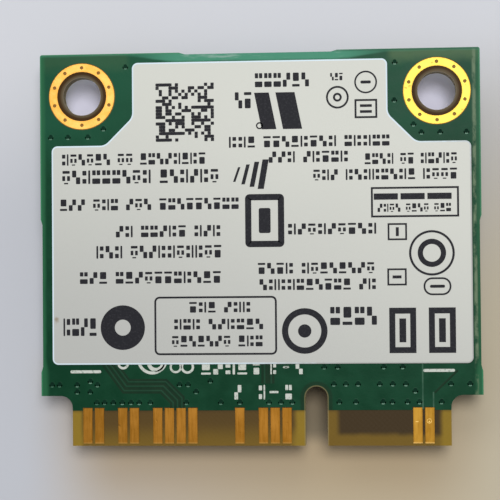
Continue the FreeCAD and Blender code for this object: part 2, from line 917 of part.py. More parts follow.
def make_packages(name, packages, height):
    """Moulded packages on flat solder lands, each with a round mark by its first terminal."""
    gap, mark, inset = size["solderGap"], size["markSize"], size["markInset"]
    body = new_body(f"{name}_package", z=underZ - height)
    outlines = Drawing(body, "outlines")
    marks = Drawing(body, "mark_outlines")
    for x, y, width, length in packages:
        outlines.rectangle(x, y, width, length)
        marks.dot(x - width / 2 + inset, y + length / 2 - inset, mark)
    add_pad(body, outlines, "mould", height - gap)
    add_pocket(body, marks, "marks", size["markDepth"])
    lands = [land for package in packages for land in edge_lands(*package)]
    return [body, hung_blocks(f"{name}_lands", lands, 0, gap)]


def beside(half, *steps):
    """A distance from the middle: half a package, then each step with a gap before it."""
    reach = as_size(half)
    for step in steps[:-1]:
        reach = reach + size["partGap"] + step
    return reach + size["partGap"] + steps[-1] / 2


def make_chips():
    baseband, radio = size["basebandSide"], size["radioSide"]
    regulator, front_end = size["regulatorSide"], size["frontEndSide"]
    small = size["smallLength"]
    middle = as_size(0)
    regulator_x = -beside(baseband / 2, small, regulator)
    memory_x = beside(radio / 2, small, size["memoryLength"])
    front_ends = [(x, frontEndY, front_end, front_end) for x in (-socketX, socketX)]
    made = []
    made += make_packages(
        "baseband_chip", [(middle, basebandY, baseband, baseband)], size["basebandHeight"]
    )
    made += make_packages("radio_chip", [(middle, radioY, radio, radio)], size["radioHeight"])
    made += make_packages(
        "regulator_chip",
        [(regulator_x, basebandY, regulator, regulator)],
        size["regulatorHeight"],
    )
    made += make_packages("front_end_chips", front_ends, size["frontEndHeight"])
    made += make_packages(
        "memory_chip",
        [(memory_x, radioY, size["memoryLength"], size["memoryWidth"])],
        size["memoryHeight"],
    )
    return made


def make_crystal():
    """The reference crystal: four pads, a ceramic base and a seam-welded metal lid."""
    length, width, rim = size["crystalLength"], size["crystalWidth"], size["crystalRim"]
    pad, gap = size["crystalPad"], size["solderGap"]
    x = -beside(size["radioSide"] / 2, size["smallLength"], length)
    pads = [
        (x + (length - pad) * side / 2, radioY + (width - pad) * end / 2, pad, pad)
        for side in (1, -1)
        for end in (1, -1)
    ]
    cover = [(x, radioY, length - rim * 2, width - rim * 2)]
    base_end = gap + size["crystalBase"]
    return [
        hung_blocks("crystal_pads", pads, 0, gap),
        hung_blocks("crystal_base", [(x, radioY, length, width)], gap, size["crystalBase"]),
        hung_blocks("crystal_lid", cover, base_end, size["crystalLid"]),
    ]


def make_chip_parts(name, spots, length, width, height):
    """Blocks with a metal cap at each end. Each spot is (x, y, True if its length is along Y)."""
    cap, skin = length * size["capShare"], size["capThick"]
    cores, caps = [], []
    for x, y, turned in spots:
        core = (length - cap * 2, width - skin * 2)
        cores.append((x, y, *(reversed(core) if turned else core)))
        for side in (1, -1):
            shift = (length - cap) * side / 2
            if turned:
                caps.append((x, y + shift, width, cap))
            else:
                caps.append((x + shift, y, cap, width))
    return [
        hung_blocks(f"{name}_cores", cores, skin, height - skin * 2),
        hung_blocks(f"{name}_caps", caps, 0, height),
    ]


def small_capacitor_spots():
    """Beside the radio and baseband chips, in the top row, and between the antenna sockets."""
    small, pitch = size["smallLength"], size["smallPitch"]
    spots = [(x, frontEndY, True) for x in rows_about(as_size(0), pitch, 4)]
    for side in (1, -1):
        radio_x = beside(size["radioSide"] / 2, small) * side
        spots += [(radio_x, y, False) for y in rows_about(radioY, pitch, 3)]
        socket_edge = socketX - size["socketBase"] / 2 - size["socketFoot"]
        first = socket_edge - size["socketStrapThick"] - size["partGap"] - size["smallWidth"] / 2
        spots += [(first * side - pitch * step * side, socketY, True) for step in range(3)]
    baseband_x = -beside(size["basebandSide"] / 2, small)
    return spots + [(baseband_x, y, False) for y in rows_about(basebandY, pitch, 5)]


def resistor_spots():
    """Right of the baseband chip, and in a second column past the bulk capacitors."""
    small = size["smallLength"]
    near = beside(size["basebandSide"] / 2, small)
    far = beside(size["basebandSide"] / 2, small, size["bulkLength"], small)
    return [
        (x, y, False) for x in (near, far) for y in rows_about(basebandY, size["smallPitch"], 5)
    ]


def bulk_capacitor_spots():
    small, length, width = size["smallLength"], size["bulkLength"], size["bulkWidth"]
    right = beside(size["basebandSide"] / 2, small, length)
    spots = [(right, y, False) for y in rows_about(basebandY, width + size["partGap"], 3)]
    past_crystal = -beside(size["radioSide"] / 2, small, size["crystalLength"], width)
    past_memory = beside(size["radioSide"] / 2, small, size["memoryLength"], width)
    for x in (past_crystal, past_memory):
        spots += [(x, y, True) for y in rows_about(radioY, length + size["partGap"], 2)]
    return spots


def coil_spots():
    x = -beside(
        size["basebandSide"] / 2, size["smallLength"], size["regulatorSide"], size["coilLength"]
    )
    pitch = size["coilWidth"] + size["partGap"]
    return [(x, y, False) for y in rows_about(basebandY, pitch, 2)]


def filter_spots():
    inner_edge = socketX - size["frontEndSide"] / 2
    x = inner_edge - size["partGap"] - size["filterLength"] / 2
    return [(-x, frontEndY, False), (x, frontEndY, False)]


def make_passives():
    small = (size["smallLength"], size["smallWidth"])
    bulk = (size["bulkLength"], size["bulkWidth"], size["bulkHeight"])
    band = (size["filterLength"], size["filterWidth"], size["filterHeight"])
    coil = (size["coilLength"], size["coilWidth"], size["coilHeight"])
    made = make_chip_parts("capacitor", small_capacitor_spots(), *small, size["smallHeight"])
    made += make_chip_parts("resistor", resistor_spots(), *small, size["resistorHeight"])
    made += make_chip_parts("bulk_capacitor", bulk_capacitor_spots(), *bulk)
    made += make_chip_parts("band_filter", filter_spots(), *band)
    made += make_chip_parts("power_coil", coil_spots(), *coil)
    return made


def check_document():
    """Stops if any object of the document failed to build."""
    for thing in doc.Objects:
        if "Invalid" in thing.State or "Error" in thing.State:
            raise RuntimeError(f"{thing.Label} did not build: {thing.State}")


def export_parts(parts):
    for part in parts:
        if part.Shape.isNull() or not part.Shape.isValid():
            raise RuntimeError(f"{part.Label} has no valid shape")
    os.makedirs("parts", exist_ok=True)
    for part in parts:
        part.Shape.exportStep(os.path.join("parts", f"{part.Label}.step"))
        solids = len(part.Shape.Solids)
        print(f"{part.Label}: {solids} solids, {part.Shape.Volume:.4f} cubic mm")


def main():
    parts = make_circuit_board() + make_board_parts() + make_label()
    parts += make_lid() + make_frame()
    parts += make_sockets() + make_chips() + make_crystal() + make_passives()
    doc.recompute()
    check_document()
    export_parts(parts)


main()
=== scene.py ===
import json
import math

import bpy
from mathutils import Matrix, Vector


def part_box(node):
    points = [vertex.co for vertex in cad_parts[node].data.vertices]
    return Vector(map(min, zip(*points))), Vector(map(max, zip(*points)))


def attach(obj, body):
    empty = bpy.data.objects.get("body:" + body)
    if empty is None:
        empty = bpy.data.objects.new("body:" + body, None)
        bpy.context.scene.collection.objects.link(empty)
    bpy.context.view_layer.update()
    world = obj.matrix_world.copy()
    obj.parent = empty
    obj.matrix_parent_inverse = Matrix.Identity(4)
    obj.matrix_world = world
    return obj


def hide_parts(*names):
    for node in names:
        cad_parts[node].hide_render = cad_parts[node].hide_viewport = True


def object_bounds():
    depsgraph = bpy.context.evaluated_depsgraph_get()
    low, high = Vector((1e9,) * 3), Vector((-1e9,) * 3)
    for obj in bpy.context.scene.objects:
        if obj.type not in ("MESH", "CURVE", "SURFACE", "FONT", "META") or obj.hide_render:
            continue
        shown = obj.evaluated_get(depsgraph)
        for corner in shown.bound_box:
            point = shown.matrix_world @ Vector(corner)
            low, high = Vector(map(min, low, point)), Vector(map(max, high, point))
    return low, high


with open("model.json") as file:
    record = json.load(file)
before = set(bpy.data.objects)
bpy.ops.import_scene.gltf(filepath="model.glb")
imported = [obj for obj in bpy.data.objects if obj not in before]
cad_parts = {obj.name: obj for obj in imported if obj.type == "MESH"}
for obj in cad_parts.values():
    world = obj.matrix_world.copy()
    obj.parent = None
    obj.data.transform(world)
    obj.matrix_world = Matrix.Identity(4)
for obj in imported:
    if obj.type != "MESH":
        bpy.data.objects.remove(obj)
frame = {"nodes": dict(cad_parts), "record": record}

# A half-length wireless card, lying label side up on the lid of its shield can.
# Lengths in the dictionaries are millimetres, and mm turns them into Blender's metres.
mm = 0.001
nodes = frame["nodes"]
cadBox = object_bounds()
boardLow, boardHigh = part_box("circuit_board")
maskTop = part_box("solder_mask_label_side")[1].z
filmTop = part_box("label")[1].z
ringLow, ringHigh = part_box("screw_ring_right_label_side")
holePlace = (ringLow + ringHigh) / 2
boardHalf = boardHigh.x / mm
boardTop = boardHigh.y / mm
tongueEnd = boardLow.y / mm
holeX = holePlace.x / mm
holeY = holePlace.y / mm
ringOuter = (ringHigh.x - ringLow.x) / 2 / mm
contactLow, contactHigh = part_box("edge_contacts_label_side")
print("frame loaded:", len(nodes), "nodes")


# Selection and small modelling steps
def pick(piece):
    bpy.ops.object.select_all(action="DESELECT")
    piece.select_set(True)
    bpy.context.view_layer.objects.active = piece


def startEdit(piece):
    pick(piece)
    bpy.ops.object.mode_set(mode="EDIT")
    bpy.ops.mesh.select_mode(type="VERT")
    bpy.ops.mesh.select_all(action="SELECT")


def selectVertices(piece, wanted):
    # leaves the piece in edit mode with only the vertices selected whose place is wanted
    bpy.ops.object.mode_set(mode="OBJECT")
    for part in list(piece.data.edges) + list(piece.data.polygons):
        part.select = False
    for vertex in piece.data.vertices:
        vertex.select = wanted(vertex.co)
    bpy.ops.object.mode_set(mode="EDIT")


def endEdit():
    bpy.ops.mesh.select_all(action="SELECT")
    bpy.ops.mesh.normals_make_consistent(inside=False)
    bpy.ops.object.mode_set(mode="OBJECT")


def freeze(piece):
    pick(piece)
    bpy.ops.object.transform_apply(location=True, rotation=True, scale=True)


def joined(pieces, name):
    bpy.ops.object.select_all(action="DESELECT")
    for piece in pieces:
        piece.select_set(True)
    bpy.context.view_layer.objects.active = pieces[0]
    if len(pieces) > 1:
        bpy.ops.object.join()
    whole = bpy.context.view_layer.objects.active
    whole.name = name
    whole.data.name = name
    freeze(whole)
    return whole


def copyOf(master, x, y, z, stretch=(1, 1, 1)):
    # a copy with a mesh of its own; x and y are millimetres, z is metres
    piece = master.copy()
    piece.data = master.data.copy()
    piece.location = (x * mm, y * mm, z)
    piece.scale = stretch
    bpy.context.collection.objects.link(piece)
    return piece


def discard(*masters):
    for master in masters:
        bpy.data.objects.remove(master)


def settle(piece, material):
    piece.data.materials.clear()
    piece.data.materials.append(material)
    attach(piece, "root")


# Flat print shapes, each a thin closed plate with its foot a little inside what carries it
def raised(piece, high):
    bpy.ops.mesh.select_all(action="SELECT")
    bpy.ops.mesh.extrude_region_move(TRANSFORM_OT_translate={"value": (0, 0, high * mm)})
    endEdit()
    return piece


def sheet(x, y, z, width, length, corner=0, steps=0):
    # a flat rectangle in edit mode, selected all over
    bpy.ops.mesh.primitive_plane_add(size=mm, location=(x * mm, y * mm, z))
    piece = bpy.context.active_object
    startEdit(piece)
    bpy.ops.transform.resize(value=(width, length, 1))
    if corner:
        bpy.ops.mesh.bevel(offset=corner * mm, segments=steps, affect="VERTICES")
        bpy.ops.mesh.select_all(action="SELECT")
    return piece


def plate(x, y, z, width, length, high, corner, steps=3):
    return raised(sheet(x, y, z, width, length, corner, steps), high)


def framePlate(x, y, z, width, length, wall, high, corner, steps):
    piece = sheet(x, y, z, width, length, corner, steps)
    bpy.ops.mesh.inset(thickness=wall * mm)
    bpy.ops.mesh.delete(type="FACE")
    return raised(piece, high)


def ringPlate(x, y, z, outer, inner, high, corners):
    bpy.ops.mesh.primitive_circle_add(
        vertices=corners, radius=outer * mm, fill_type="NGON", location=(x * mm, y * mm, z)
    )
    piece = bpy.context.active_object
    startEdit(piece)
    if inner:
        bpy.ops.mesh.inset(thickness=(outer - inner) * mm)
        bpy.ops.mesh.delete(type="FACE")
    return raised(piece, high)


def slantPlate(x, y, z, width, length, lean, high):
    # a plate whose upper edge is moved sideways by lean
    piece = sheet(x, y, z, width, length)
    selectVertices(piece, lambda place: place.y > 0)
    bpy.ops.transform.translate(value=(lean * mm, 0, 0))
    return raised(piece, high)


# Shader arithmetic
def feed(socket, value):
    if isinstance(value, Wire):
        socket.id_data.links.new(value.socket, socket)
    elif isinstance(value, tuple) and len(socket.default_value) == 4:
        socket.default_value = (*value, 1)
    else:
        socket.default_value = value


class Wire:  # an output socket of a material, which Python's arithmetic can use
    def __init__(self, socket):
        self.socket = socket

    def node(self, kind, settings=None, sockets=None, output=0):
        made = self.socket.id_data.nodes.new("ShaderNode" + kind)
        for name, value in (settings or {}).items():
            setattr(made, name, value)
        for name, value in (sockets or {}).items():
            feed(made.inputs[name], value)
        return Wire(made.outputs[output])

    def output(self, index):
        return Wire(self.socket.node.outputs[index])

    def maths(self, operation, first, second=0.0):
        return self.node("Math", {"operation": operation}, {0: first, 1: second})

    def __add__(self, other):
        return self.maths("ADD", self, other)

    def __radd__(self, other):
        return self.maths("ADD", other, self)

    def __sub__(self, other):
        return self.maths("SUBTRACT", self, other)

    def __rsub__(self, other):
        return self.maths("SUBTRACT", other, self)

    def __mul__(self, other):
        return self.maths("MULTIPLY", self, other)

    def __rmul__(self, other):
        return self.maths("MULTIPLY", other, self)

    def __abs__(self):
        return self.maths("ABSOLUTE", self)

    def root(self):
        return self.maths("SQRT", self)

    def sine(self):
        return self.maths("SINE", self)

    def fraction(self):
        return self.maths("FRACT", self)

    def least(self, other):
        return self.maths("MINIMUM", self, other)

    def most(self, other):
        return self.maths("MAXIMUM", self, other)

    def rise(self, low, high):  # smoothly from 0 at low to 1 at high
        sockets = {"Value": self, "From Min": low, "From Max": high}
        return self.node("MapRange", {"interpolation_type": "SMOOTHSTEP"}, sockets)

    def blend(self, low, high):  # the colour low where this is 0, high where it is 1
        return self.node("Mix", {"data_type": "RGBA"}, {0: self, 6: low, 7: high}, 2)

    def stretched(self, x, y, z):
        return self.node("Mapping", None, {"Vector": self, "Scale": (x, y, z)})

    def noise(self, perMm, detail, rough=0.5):
        sockets = {"Vector": self, "Scale": perMm / mm, "Detail": detail, "Roughness": rough}
        return self.node("TexNoise", None, sockets)

    def split(self):
        first = self.node("SeparateXYZ", None, {"Vector": self})
        return first, first.output(1), first.output(2)

    def bump(self, deep, strength):  # deep is the height in millimetres that 1 stands for
        sockets = {"Height": self, "Distance": deep * mm, "Strength": strength}
        return self.node("Bump", None, sockets)


class Finish:  # a material whose principled shader is fed from the object's own coordinates
    def __init__(self, name, **constants):
        self.material = bpy.data.materials.new(name)
        self.material.use_nodes = True
        self.shader = self.material.node_tree.nodes["Principled BSDF"]
        for socket, value in constants.items():
            feed(self.shader.inputs[socket.replace("_", " ")], value)
        origin = self.material.node_tree.nodes.new("ShaderNodeTexCoord")
        self.place = Wire(origin.outputs["Object"])
        self.normal = Wire(origin.outputs["Normal"])

    def inMillimetres(self):
        x, y, z = self.place.split()
        return x * (1 / mm), y * (1 / mm), z * (1 / mm)

    def put(self, **wires):
        for socket, wire in wires.items():
            feed(self.shader.inputs[socket.replace("_", " ")], wire)
        return self.material


# Distances in the materials, in millimetres
def distance(across, along):
    return (across * across + along * along).root()


def holeDistance(x, y):
    # from the middle of the nearer screw hole
    return distance(abs(x) - holeX, y - holeY)


def keyDistance(x, y):
    # from the wall of the round-ended key slot
    across = x - tongueLook["keyX"]
    up = (y - (tongueLook["keyTop"] - tongueLook["keyHalf"])).most(0)
    return distance(across, up) - tongueLook["keyHalf"]


def limits(share, first, second):
    # the pair of limits that lies at this share of the way from the first pair to the second
    return [low + (high - low) * share for low, high in zip(first, second)]


# Board materials
tongueLook = {
    "half": 12.85,                      # from the tongue's middle to its sides
    "keyX": 3.8,
    "keyHalf": 0.75,
    "keyTop": -9.4,
    "blockChange": (3.6, 4.0),          # from the left block to the right one, along X
    "weave": 0.36,                      # glass bundles, mm apart
    "blotches": 0.45,                   # grains of noise to a millimetre, as the next two
    "fibres": 2.5,
    "pores": 5,
    "bump": (0.006, 0.6),               # height in mm, and strength
    "resin": (0.29, 0.185, 0.022),
    "resinShade": (0.18, 0.108, 0.018),
    "brightByKey": (0.5, 1.2),          # the resin is brighter left of the slot
    "brightByEnds": (11.9, 12.4),       # and at both ends of the tongue
    "copperBehind": (0.058, 0.037, 0.016),
    "between": (0.105, 0.062, 0.017),
    "copperEdge": (0.46, 0.94),         # inner copper, from the tongue's edges
    "copperFoot": (0.1, 1.7),           # and from the end of its left block
    "copperDepth": (0.35, 2.6),         # darker further from the end
    "edgeWander": 0.3,                  # how far noise moves an edge, as every wander here
    "footWander": 0.6,
    "maskShade": (-11.25, -10.95),      # shade close to the mask, along Y
    "maskShadeShare": 0.45,
    "keyRim": (0.30, 0.24, 0.11),
    "keyRimEdge": (0.03, 0.1),
    "keyRimShare": 0.6,
    "holeRim": (0.19, 0.15, 0.10),
    "holeRimEdge": (1.315, 1.35),       # radii round a screw hole, from here to collarEnd
    "collarEdge": (1.38, 1.56),
    "collarWander": 0.15,
    "viaEdge": (1.68, 1.74),
    "collarEnd": (2.4, 2.5),
    "collarIn": (0.115, 0.085, 0.045),
    # bare laminate darkened with painted shade beside the gold ring
    "collarOut": (0.055, 0.026, 0.007),
    "viaDark": (0.30, 0.16, 0.04),
    "wall": (0.33, 0.275, 0.13),
    "wallShade": (0.24, 0.19, 0.085),
    "wallLine": (0.14, 0.10, 0.045),
    "lineDepths": (0.28, 0.66),         # inner layers, from the core's lower face
    "lineEdge": (0.015, 0.045),
    "lineWander": 0.05,
    "lineShare": 0.8,
}
maskLook = {
    "clouds": 0.22,                     # grains of noise to a millimetre, as the next three
    "ripples": 0.9,
    "streaks": 1.1,
    "pores": 6,
    "bump": (0.012, 0.8),
    "deep": (0.004, 0.043, 0.018),
    "pale": (0.008, 0.062, 0.028),
    "paleFade": (0.36, 0.66),
    "bare": (0.010, 0.035, 0.016),      # where no copper lies under the mask
    "bareEdge": (0.25, 0.42),           # from the key slot's wall
    "bareShare": 0.8,
    "keyRimEdge": (0.03, 0.11),
    "keyRimShare": 0.5,
    "rightward": (-6, 12),              # for what differs from left to right, along X
    # painted light: the next colour makes the mask lighter towards the top
    "upper": (0.013, 0.092, 0.046),
    "upperFade": (5.5, 9),
    "olive": (0.085, 0.155, 0.07),
    "oliveFade": (11.9, 12.8),
    "oliveHalf": (8.6, 9.2),
    "oliveWander": 0.8,
    "oliveRaise": 0.3,                  # its edge stands this much higher on the right
    "strip": (0.026, 0.135, 0.058),
    "stripEdge": (0.18, 0.46),          # from the board's sides
    "stripEdgeLow": (0.23, 0.66),       # the same by the tongue
    "lowFade": (-8.6, -7.4),
    "stripWander": 0.2,
    "worn": (0.15, 0.215, 0.125),
    "wornStart": (0.26, 0.38),          # from the board's right side
    "wornEnd": (0.46, 0.62),
    "wornWander": 0.12,
    "wornPatches": (0.36, 0.6),
    # the strip at the top: paler mask with painted highlight
    "topStrip": (0.07, 0.29, 0.18),
    "topStreak": (0.30, 0.46, 0.38),
    "topMiddle": (5.2, 9.2),            # where the strip at the top narrows
    "topBandEnds": (0.1, 0.24),         # from the board's top
    "topBandMiddle": (0.48, 0.74),
    "topWander": 0.3,
    "topStreaks": (0.52, 0.68),
    "topStreakShare": 0.75,
    "topEdge": (0.02, 0.12, 0.06),
    "topEdgeWide": (0.08, 0.16),
    "topEdgeShare": 0.75,
    "rim": (0.055, 0.25, 0.12),
    "rimWide": (0.05, 0.13),
    "rimShare": 0.7,
}


def laminateFinish():
    look = tongueLook
    finish = Finish("glassLaminate", Specular_IOR_Level=0.07)
    x, y, z = finish.inMillimetres()
    keyGap = keyDistance(x, y)
    fromHole = holeDistance(x, y)
    fromEnd = y - tongueEnd
    blotch = finish.place.noise(look["blotches"], 3)
    drift = blotch - 0.5
    turn = math.tau / look["weave"]
    weave = (x * turn).sine() * (y * turn).sine()
    rightBlock = x.rise(*look["blockChange"])
    # bare resin along the edges, and copper seen through it further in
    bright = (1 - keyGap.rise(*look["brightByKey"])) * (1 - rightBlock)
    bright = bright + abs(x).rise(*look["brightByEnds"])
    resin = bright * 0.85 + (blotch + weave * 0.03 - 0.5) * 0.6
    resin = resin.blend(look["resinShade"], look["resin"])
    copper = rightBlock * 0.8 + blotch * 0.35 + fromEnd.rise(*look["copperDepth"]) * 0.3 - 0.1
    copper = copper.rise(0.2, 0.9).blend(look["between"], look["copperBehind"])
    sides = (look["half"] - abs(x)).least(keyGap) + drift * look["edgeWander"]
    sides = sides.rise(*look["copperEdge"])
    foot = fromEnd + drift * look["footWander"]
    foot = rightBlock.blend(foot.rise(*look["copperFoot"]), foot.rise(*look["copperEdge"]))
    face = (sides * foot).blend(resin, copper)
    shade = y.rise(*look["maskShade"]) * look["maskShadeShare"]
    face = shade.blend(face, look["copperBehind"])
    rim = (1 - keyGap.rise(*look["keyRimEdge"])) * look["keyRimShare"]
    face = rim.blend(face, look["keyRim"])
    # the rim of a screw hole, the collar round it and the copper at the bottom of the ring's vias
    # the collar turns dark brown towards the gold ring: bare laminate with painted shade beside
    # the ring
    collar = (fromHole + drift * look["collarWander"]).rise(*look["collarEdge"])
    collar = collar.blend(look["collarIn"], look["collarOut"])
    collar = fromHole.rise(*look["holeRimEdge"]).blend(look["holeRim"], collar)
    collar = fromHole.rise(*look["viaEdge"]).blend(collar, look["viaDark"])
    face = (1 - fromHole.rise(*look["collarEnd"])).blend(face, collar)
    # cut walls, with the lines of the inner layers
    fibre = finish.place.stretched(0.6, 0.6, 6).noise(look["fibres"], 3)
    wall = fibre.rise(0.3, 0.7).blend(look["wallShade"], look["wall"])
    for depth in look["lineDepths"]:
        fromLine = abs(z - (boardLow.z / mm + depth) + (fibre - 0.5) * look["lineWander"])
        line = (1 - fromLine.rise(*look["lineEdge"])) * look["lineShare"]
        wall = line.blend(wall, look["wallLine"])
    upright = abs(finish.normal.split()[2]).rise(0.3, 0.7)
    height = weave * 0.5 + finish.place.noise(look["pores"], 2)
    return finish.put(
        Base_Color=upright.blend(wall, face),
        Roughness=0.36 + 0.25 * blotch,
        Normal=height.bump(*look["bump"]),
    )


def maskFinish():
    look = maskLook
    finish = Finish("solderMask", Specular_IOR_Level=0.06)
    x, y, z = finish.inMillimetres()
    keyGap = keyDistance(x, y)
    sideGap = boardHalf - abs(x)
    topGap = boardTop - y
    rightward = x.rise(*look["rightward"])
    cloud = finish.place.noise(look["clouds"], 3)
    ripple = finish.place.noise(look["ripples"], 4, 0.6)
    streak = finish.place.stretched(0.3, 2.2, 1).noise(look["streaks"], 4, 0.65)
    drift = ripple - 0.5
    pale = (cloud * 0.6 + ripple * 0.4).rise(*look["paleFade"])
    ground = pale.blend(look["deep"], look["pale"])
    # no copper close round the key slot, and a pale line at its wall
    bare = (1 - keyGap.rise(*look["bareEdge"])) * look["bareShare"]
    ground = bare.blend(ground, look["bare"])
    keyRim = (1 - keyGap.rise(*look["keyRimEdge"])) * look["keyRimShare"]
    ground = keyRim.blend(ground, tongueLook["keyRim"])
    # painted light: the mask lighter towards the top, less so on the right
    upper = y.rise(*look["upperFade"]) * (0.3 + cloud * 0.9) * (1 - rightward * 0.4)
    ground = upper.blend(ground, look["upper"])
    # olive haze in the two upper corners, stronger on the right
    haze = y + drift * look["oliveWander"] - rightward * look["oliveRaise"]
    haze = haze.rise(*look["oliveFade"]) * abs(x).rise(*look["oliveHalf"])
    haze = haze * (0.25 + 0.5 * rightward)
    ground = haze.blend(ground, look["olive"])
    # lighter strips along the sides, wider by the tongue, worn pale on the right
    low = 1 - y.rise(*look["lowFade"])
    stripEdge = limits(low, look["stripEdge"], look["stripEdgeLow"])
    strip = 1 - (sideGap + drift * look["stripWander"]).rise(*stripEdge)
    ground = (strip * (0.85 - 0.3 * rightward * (1 - low))).blend(ground, look["strip"])
    wander = finish.place.stretched(1, 0.4, 1).noise(0.8, 3) - 0.5
    wander = sideGap + wander * look["wornWander"]
    patches = finish.place.stretched(1, 0.5, 1).noise(1.6, 4, 0.65).rise(*look["wornPatches"])
    worn = wander.rise(*look["wornStart"]) * (1 - wander.rise(*look["wornEnd"]))
    ground = (worn * rightward * patches).blend(ground, look["worn"])
    # a streaked strip at the top, widest in the middle: paler mask lightened further with painted
    # highlight
    middle = 1 - abs(x).rise(*look["topMiddle"])
    bandEdge = limits(middle, look["topBandEnds"], look["topBandMiddle"])
    topBand = 1 - (topGap + (streak - 0.5) * look["topWander"]).rise(*bandEdge)
    topTone = streak.rise(*look["topStreaks"]) * look["topStreakShare"]
    topTone = topTone.blend(look["topStrip"], look["topStreak"])
    ground = (topBand * (0.25 + 0.7 * middle)).blend(ground, topTone)
    topEdge = (1 - topGap.rise(*look["topEdgeWide"])) * rightward * look["topEdgeShare"]
    ground = topEdge.blend(ground, look["topEdge"])
    # and a bright line along all three edges
    rim = 1 - sideGap.least(topGap + rightward * 0.1).rise(*look["rimWide"])
    ground = (rim * look["rimShare"]).blend(ground, look["rim"])
    return finish.put(
        Base_Color=ground,
        Roughness=0.26 + 0.18 * ripple,
        Normal=(ripple + 0.4 * finish.place.noise(look["pores"], 2)).bump(*look["bump"]),
    )


# Gold of the contacts, the screw rings and the sockets
goldLook = {
    # tones: shade and bright on the left, then shade and bright on the right; the change from
    # left to right, and the contacts' darker gold, are painted reflection
    "contactTones": [
        (0.25, 0.105, 0.010),
        (0.39, 0.175, 0.026),
        (0.29, 0.14, 0.014),
        (0.48, 0.255, 0.036),
    ],
    "ringTones": [(0.80, 0.40, 0.07), (1.0, 0.57, 0.15), (0.64, 0.49, 0.08), (0.83, 0.67, 0.12)],
    "socketTones": [(0.72, 0.45, 0.11), (0.92, 0.64, 0.22)] * 2,
    "toneFade": (0.3, 0.68),
    "grains": 3.5,                      # to a millimetre, as the next two
    "stains": 0.8,
    "pits": 3.2,
    "bump": (0.006, 0.8),
    "pit": (0.2, 0.1, 0.02),
    "pitFade": (0.2, 0.3),
    "pitShare": 0.4,
    "ringHalf": 0.275,                  # half the width of a ring's metal
    "ringEdge": (0.72, 0.36, 0.05),
    "ringEdgeShare": 0.38,
    "ringEnd": (2.7, 3),
    "fromKey": 2.0,                     # from the slot's middle to the first contact's
    "pitch": 0.8,
    "contactHalf": 0.31,
    "contactSideShade": (0.24, 0.10, 0.010),
    "contactSideShadeShare": 0.45,
    "contactEnd": (-10.5, -10.3),
    "tip": (0.72, 0.46, 0.14),
    "tipEdge": (0.02, 0.12),
    "tipWander": 0.08,
    "tipRight": (5, 9),                 # the tips are brighter on the right, along X
}


def goldFinish(name, tones, across, scratch, rough):
    look = goldLook
    finish = Finish(name, Metallic=1.0)
    x, y, z = finish.inMillimetres()
    fromHole = holeDistance(x, y)
    grain = finish.place.stretched(*scratch).noise(look["grains"], 3, 0.6)
    stain = finish.place.noise(look["stains"], 3)
    pits = 1 - finish.place.noise(look["pits"], 1).rise(*look["pitFade"])
    tone = (grain * 0.5 + stain * 0.5).rise(*look["toneFade"])
    left, right = tone.blend(tones[0], tones[1]), tone.blend(tones[2], tones[3])
    # painted reflection: the gold goes from the left tones to the right ones along X
    gold = x.rise(*across).blend(left, right)
    # the rings are a little deeper in colour at both of their edges
    half = look["ringHalf"]
    edge = abs(fromHole - (ringOuter - half)).rise(half * 0.5, half)
    edge = edge * (1 - fromHole.rise(*look["ringEnd"]))
    gold = (edge * look["ringEdgeShare"]).blend(gold, look["ringEdge"])
    # and painted shade along the contacts' sides, with brighter tips
    along = (abs(x - tongueLook["keyX"]) - look["fromKey"]) * (1 / look["pitch"]) + 0.5
    aside = abs(along.fraction() - 0.5) * look["pitch"]
    half = look["contactHalf"]
    side = aside.rise(half * 0.65, half) * (1 - y.rise(*look["contactEnd"]))
    gold = (side * look["contactSideShadeShare"]).blend(gold, look["contactSideShade"])
    fromTip = y - contactLow.y / mm + (grain - 0.5) * look["tipWander"]
    tip = 1 - fromTip.rise(*look["tipEdge"])
    # the tips brighten towards the right as painted reflection
    gold = (tip * (0.2 + 0.4 * x.rise(*look["tipRight"]))).blend(gold, look["tip"])
    return finish.put(
        Base_Color=(pits * look["pitShare"]).blend(gold, look["pit"]),
        Roughness=rough + 0.16 * grain,
        Normal=(grain - pits).bump(*look["bump"]),
    )


# Label, ink and board legend materials
labelLook = {
    "paper": (0.69, 0.69, 0.615),
    "shade": (0.49, 0.49, 0.455),
    "shadeFade": (-15, 12),             # from shade to paper, along Y and a little along X
    "edgeGlint": (0.72, 0.84, 0.90),
    "glintFade": (-12, -3),             # along Y less X
    "smudge": (0.28, 0.20, 0.12),
    "smudgePlace": (-13.95, -4.8),
    "smudgeFade": (0.02, 0.3),
    "smudgeWander": 0.5,
    "smudgeShare": 0.75,
    "scuffFade": (0.62, 0.78),
    "grains": 9,                        # to a millimetre, as the next two
    "scuffs": 1.2,
    "drifts": 0.07,
    "bump": (0.006, 0.5),
}


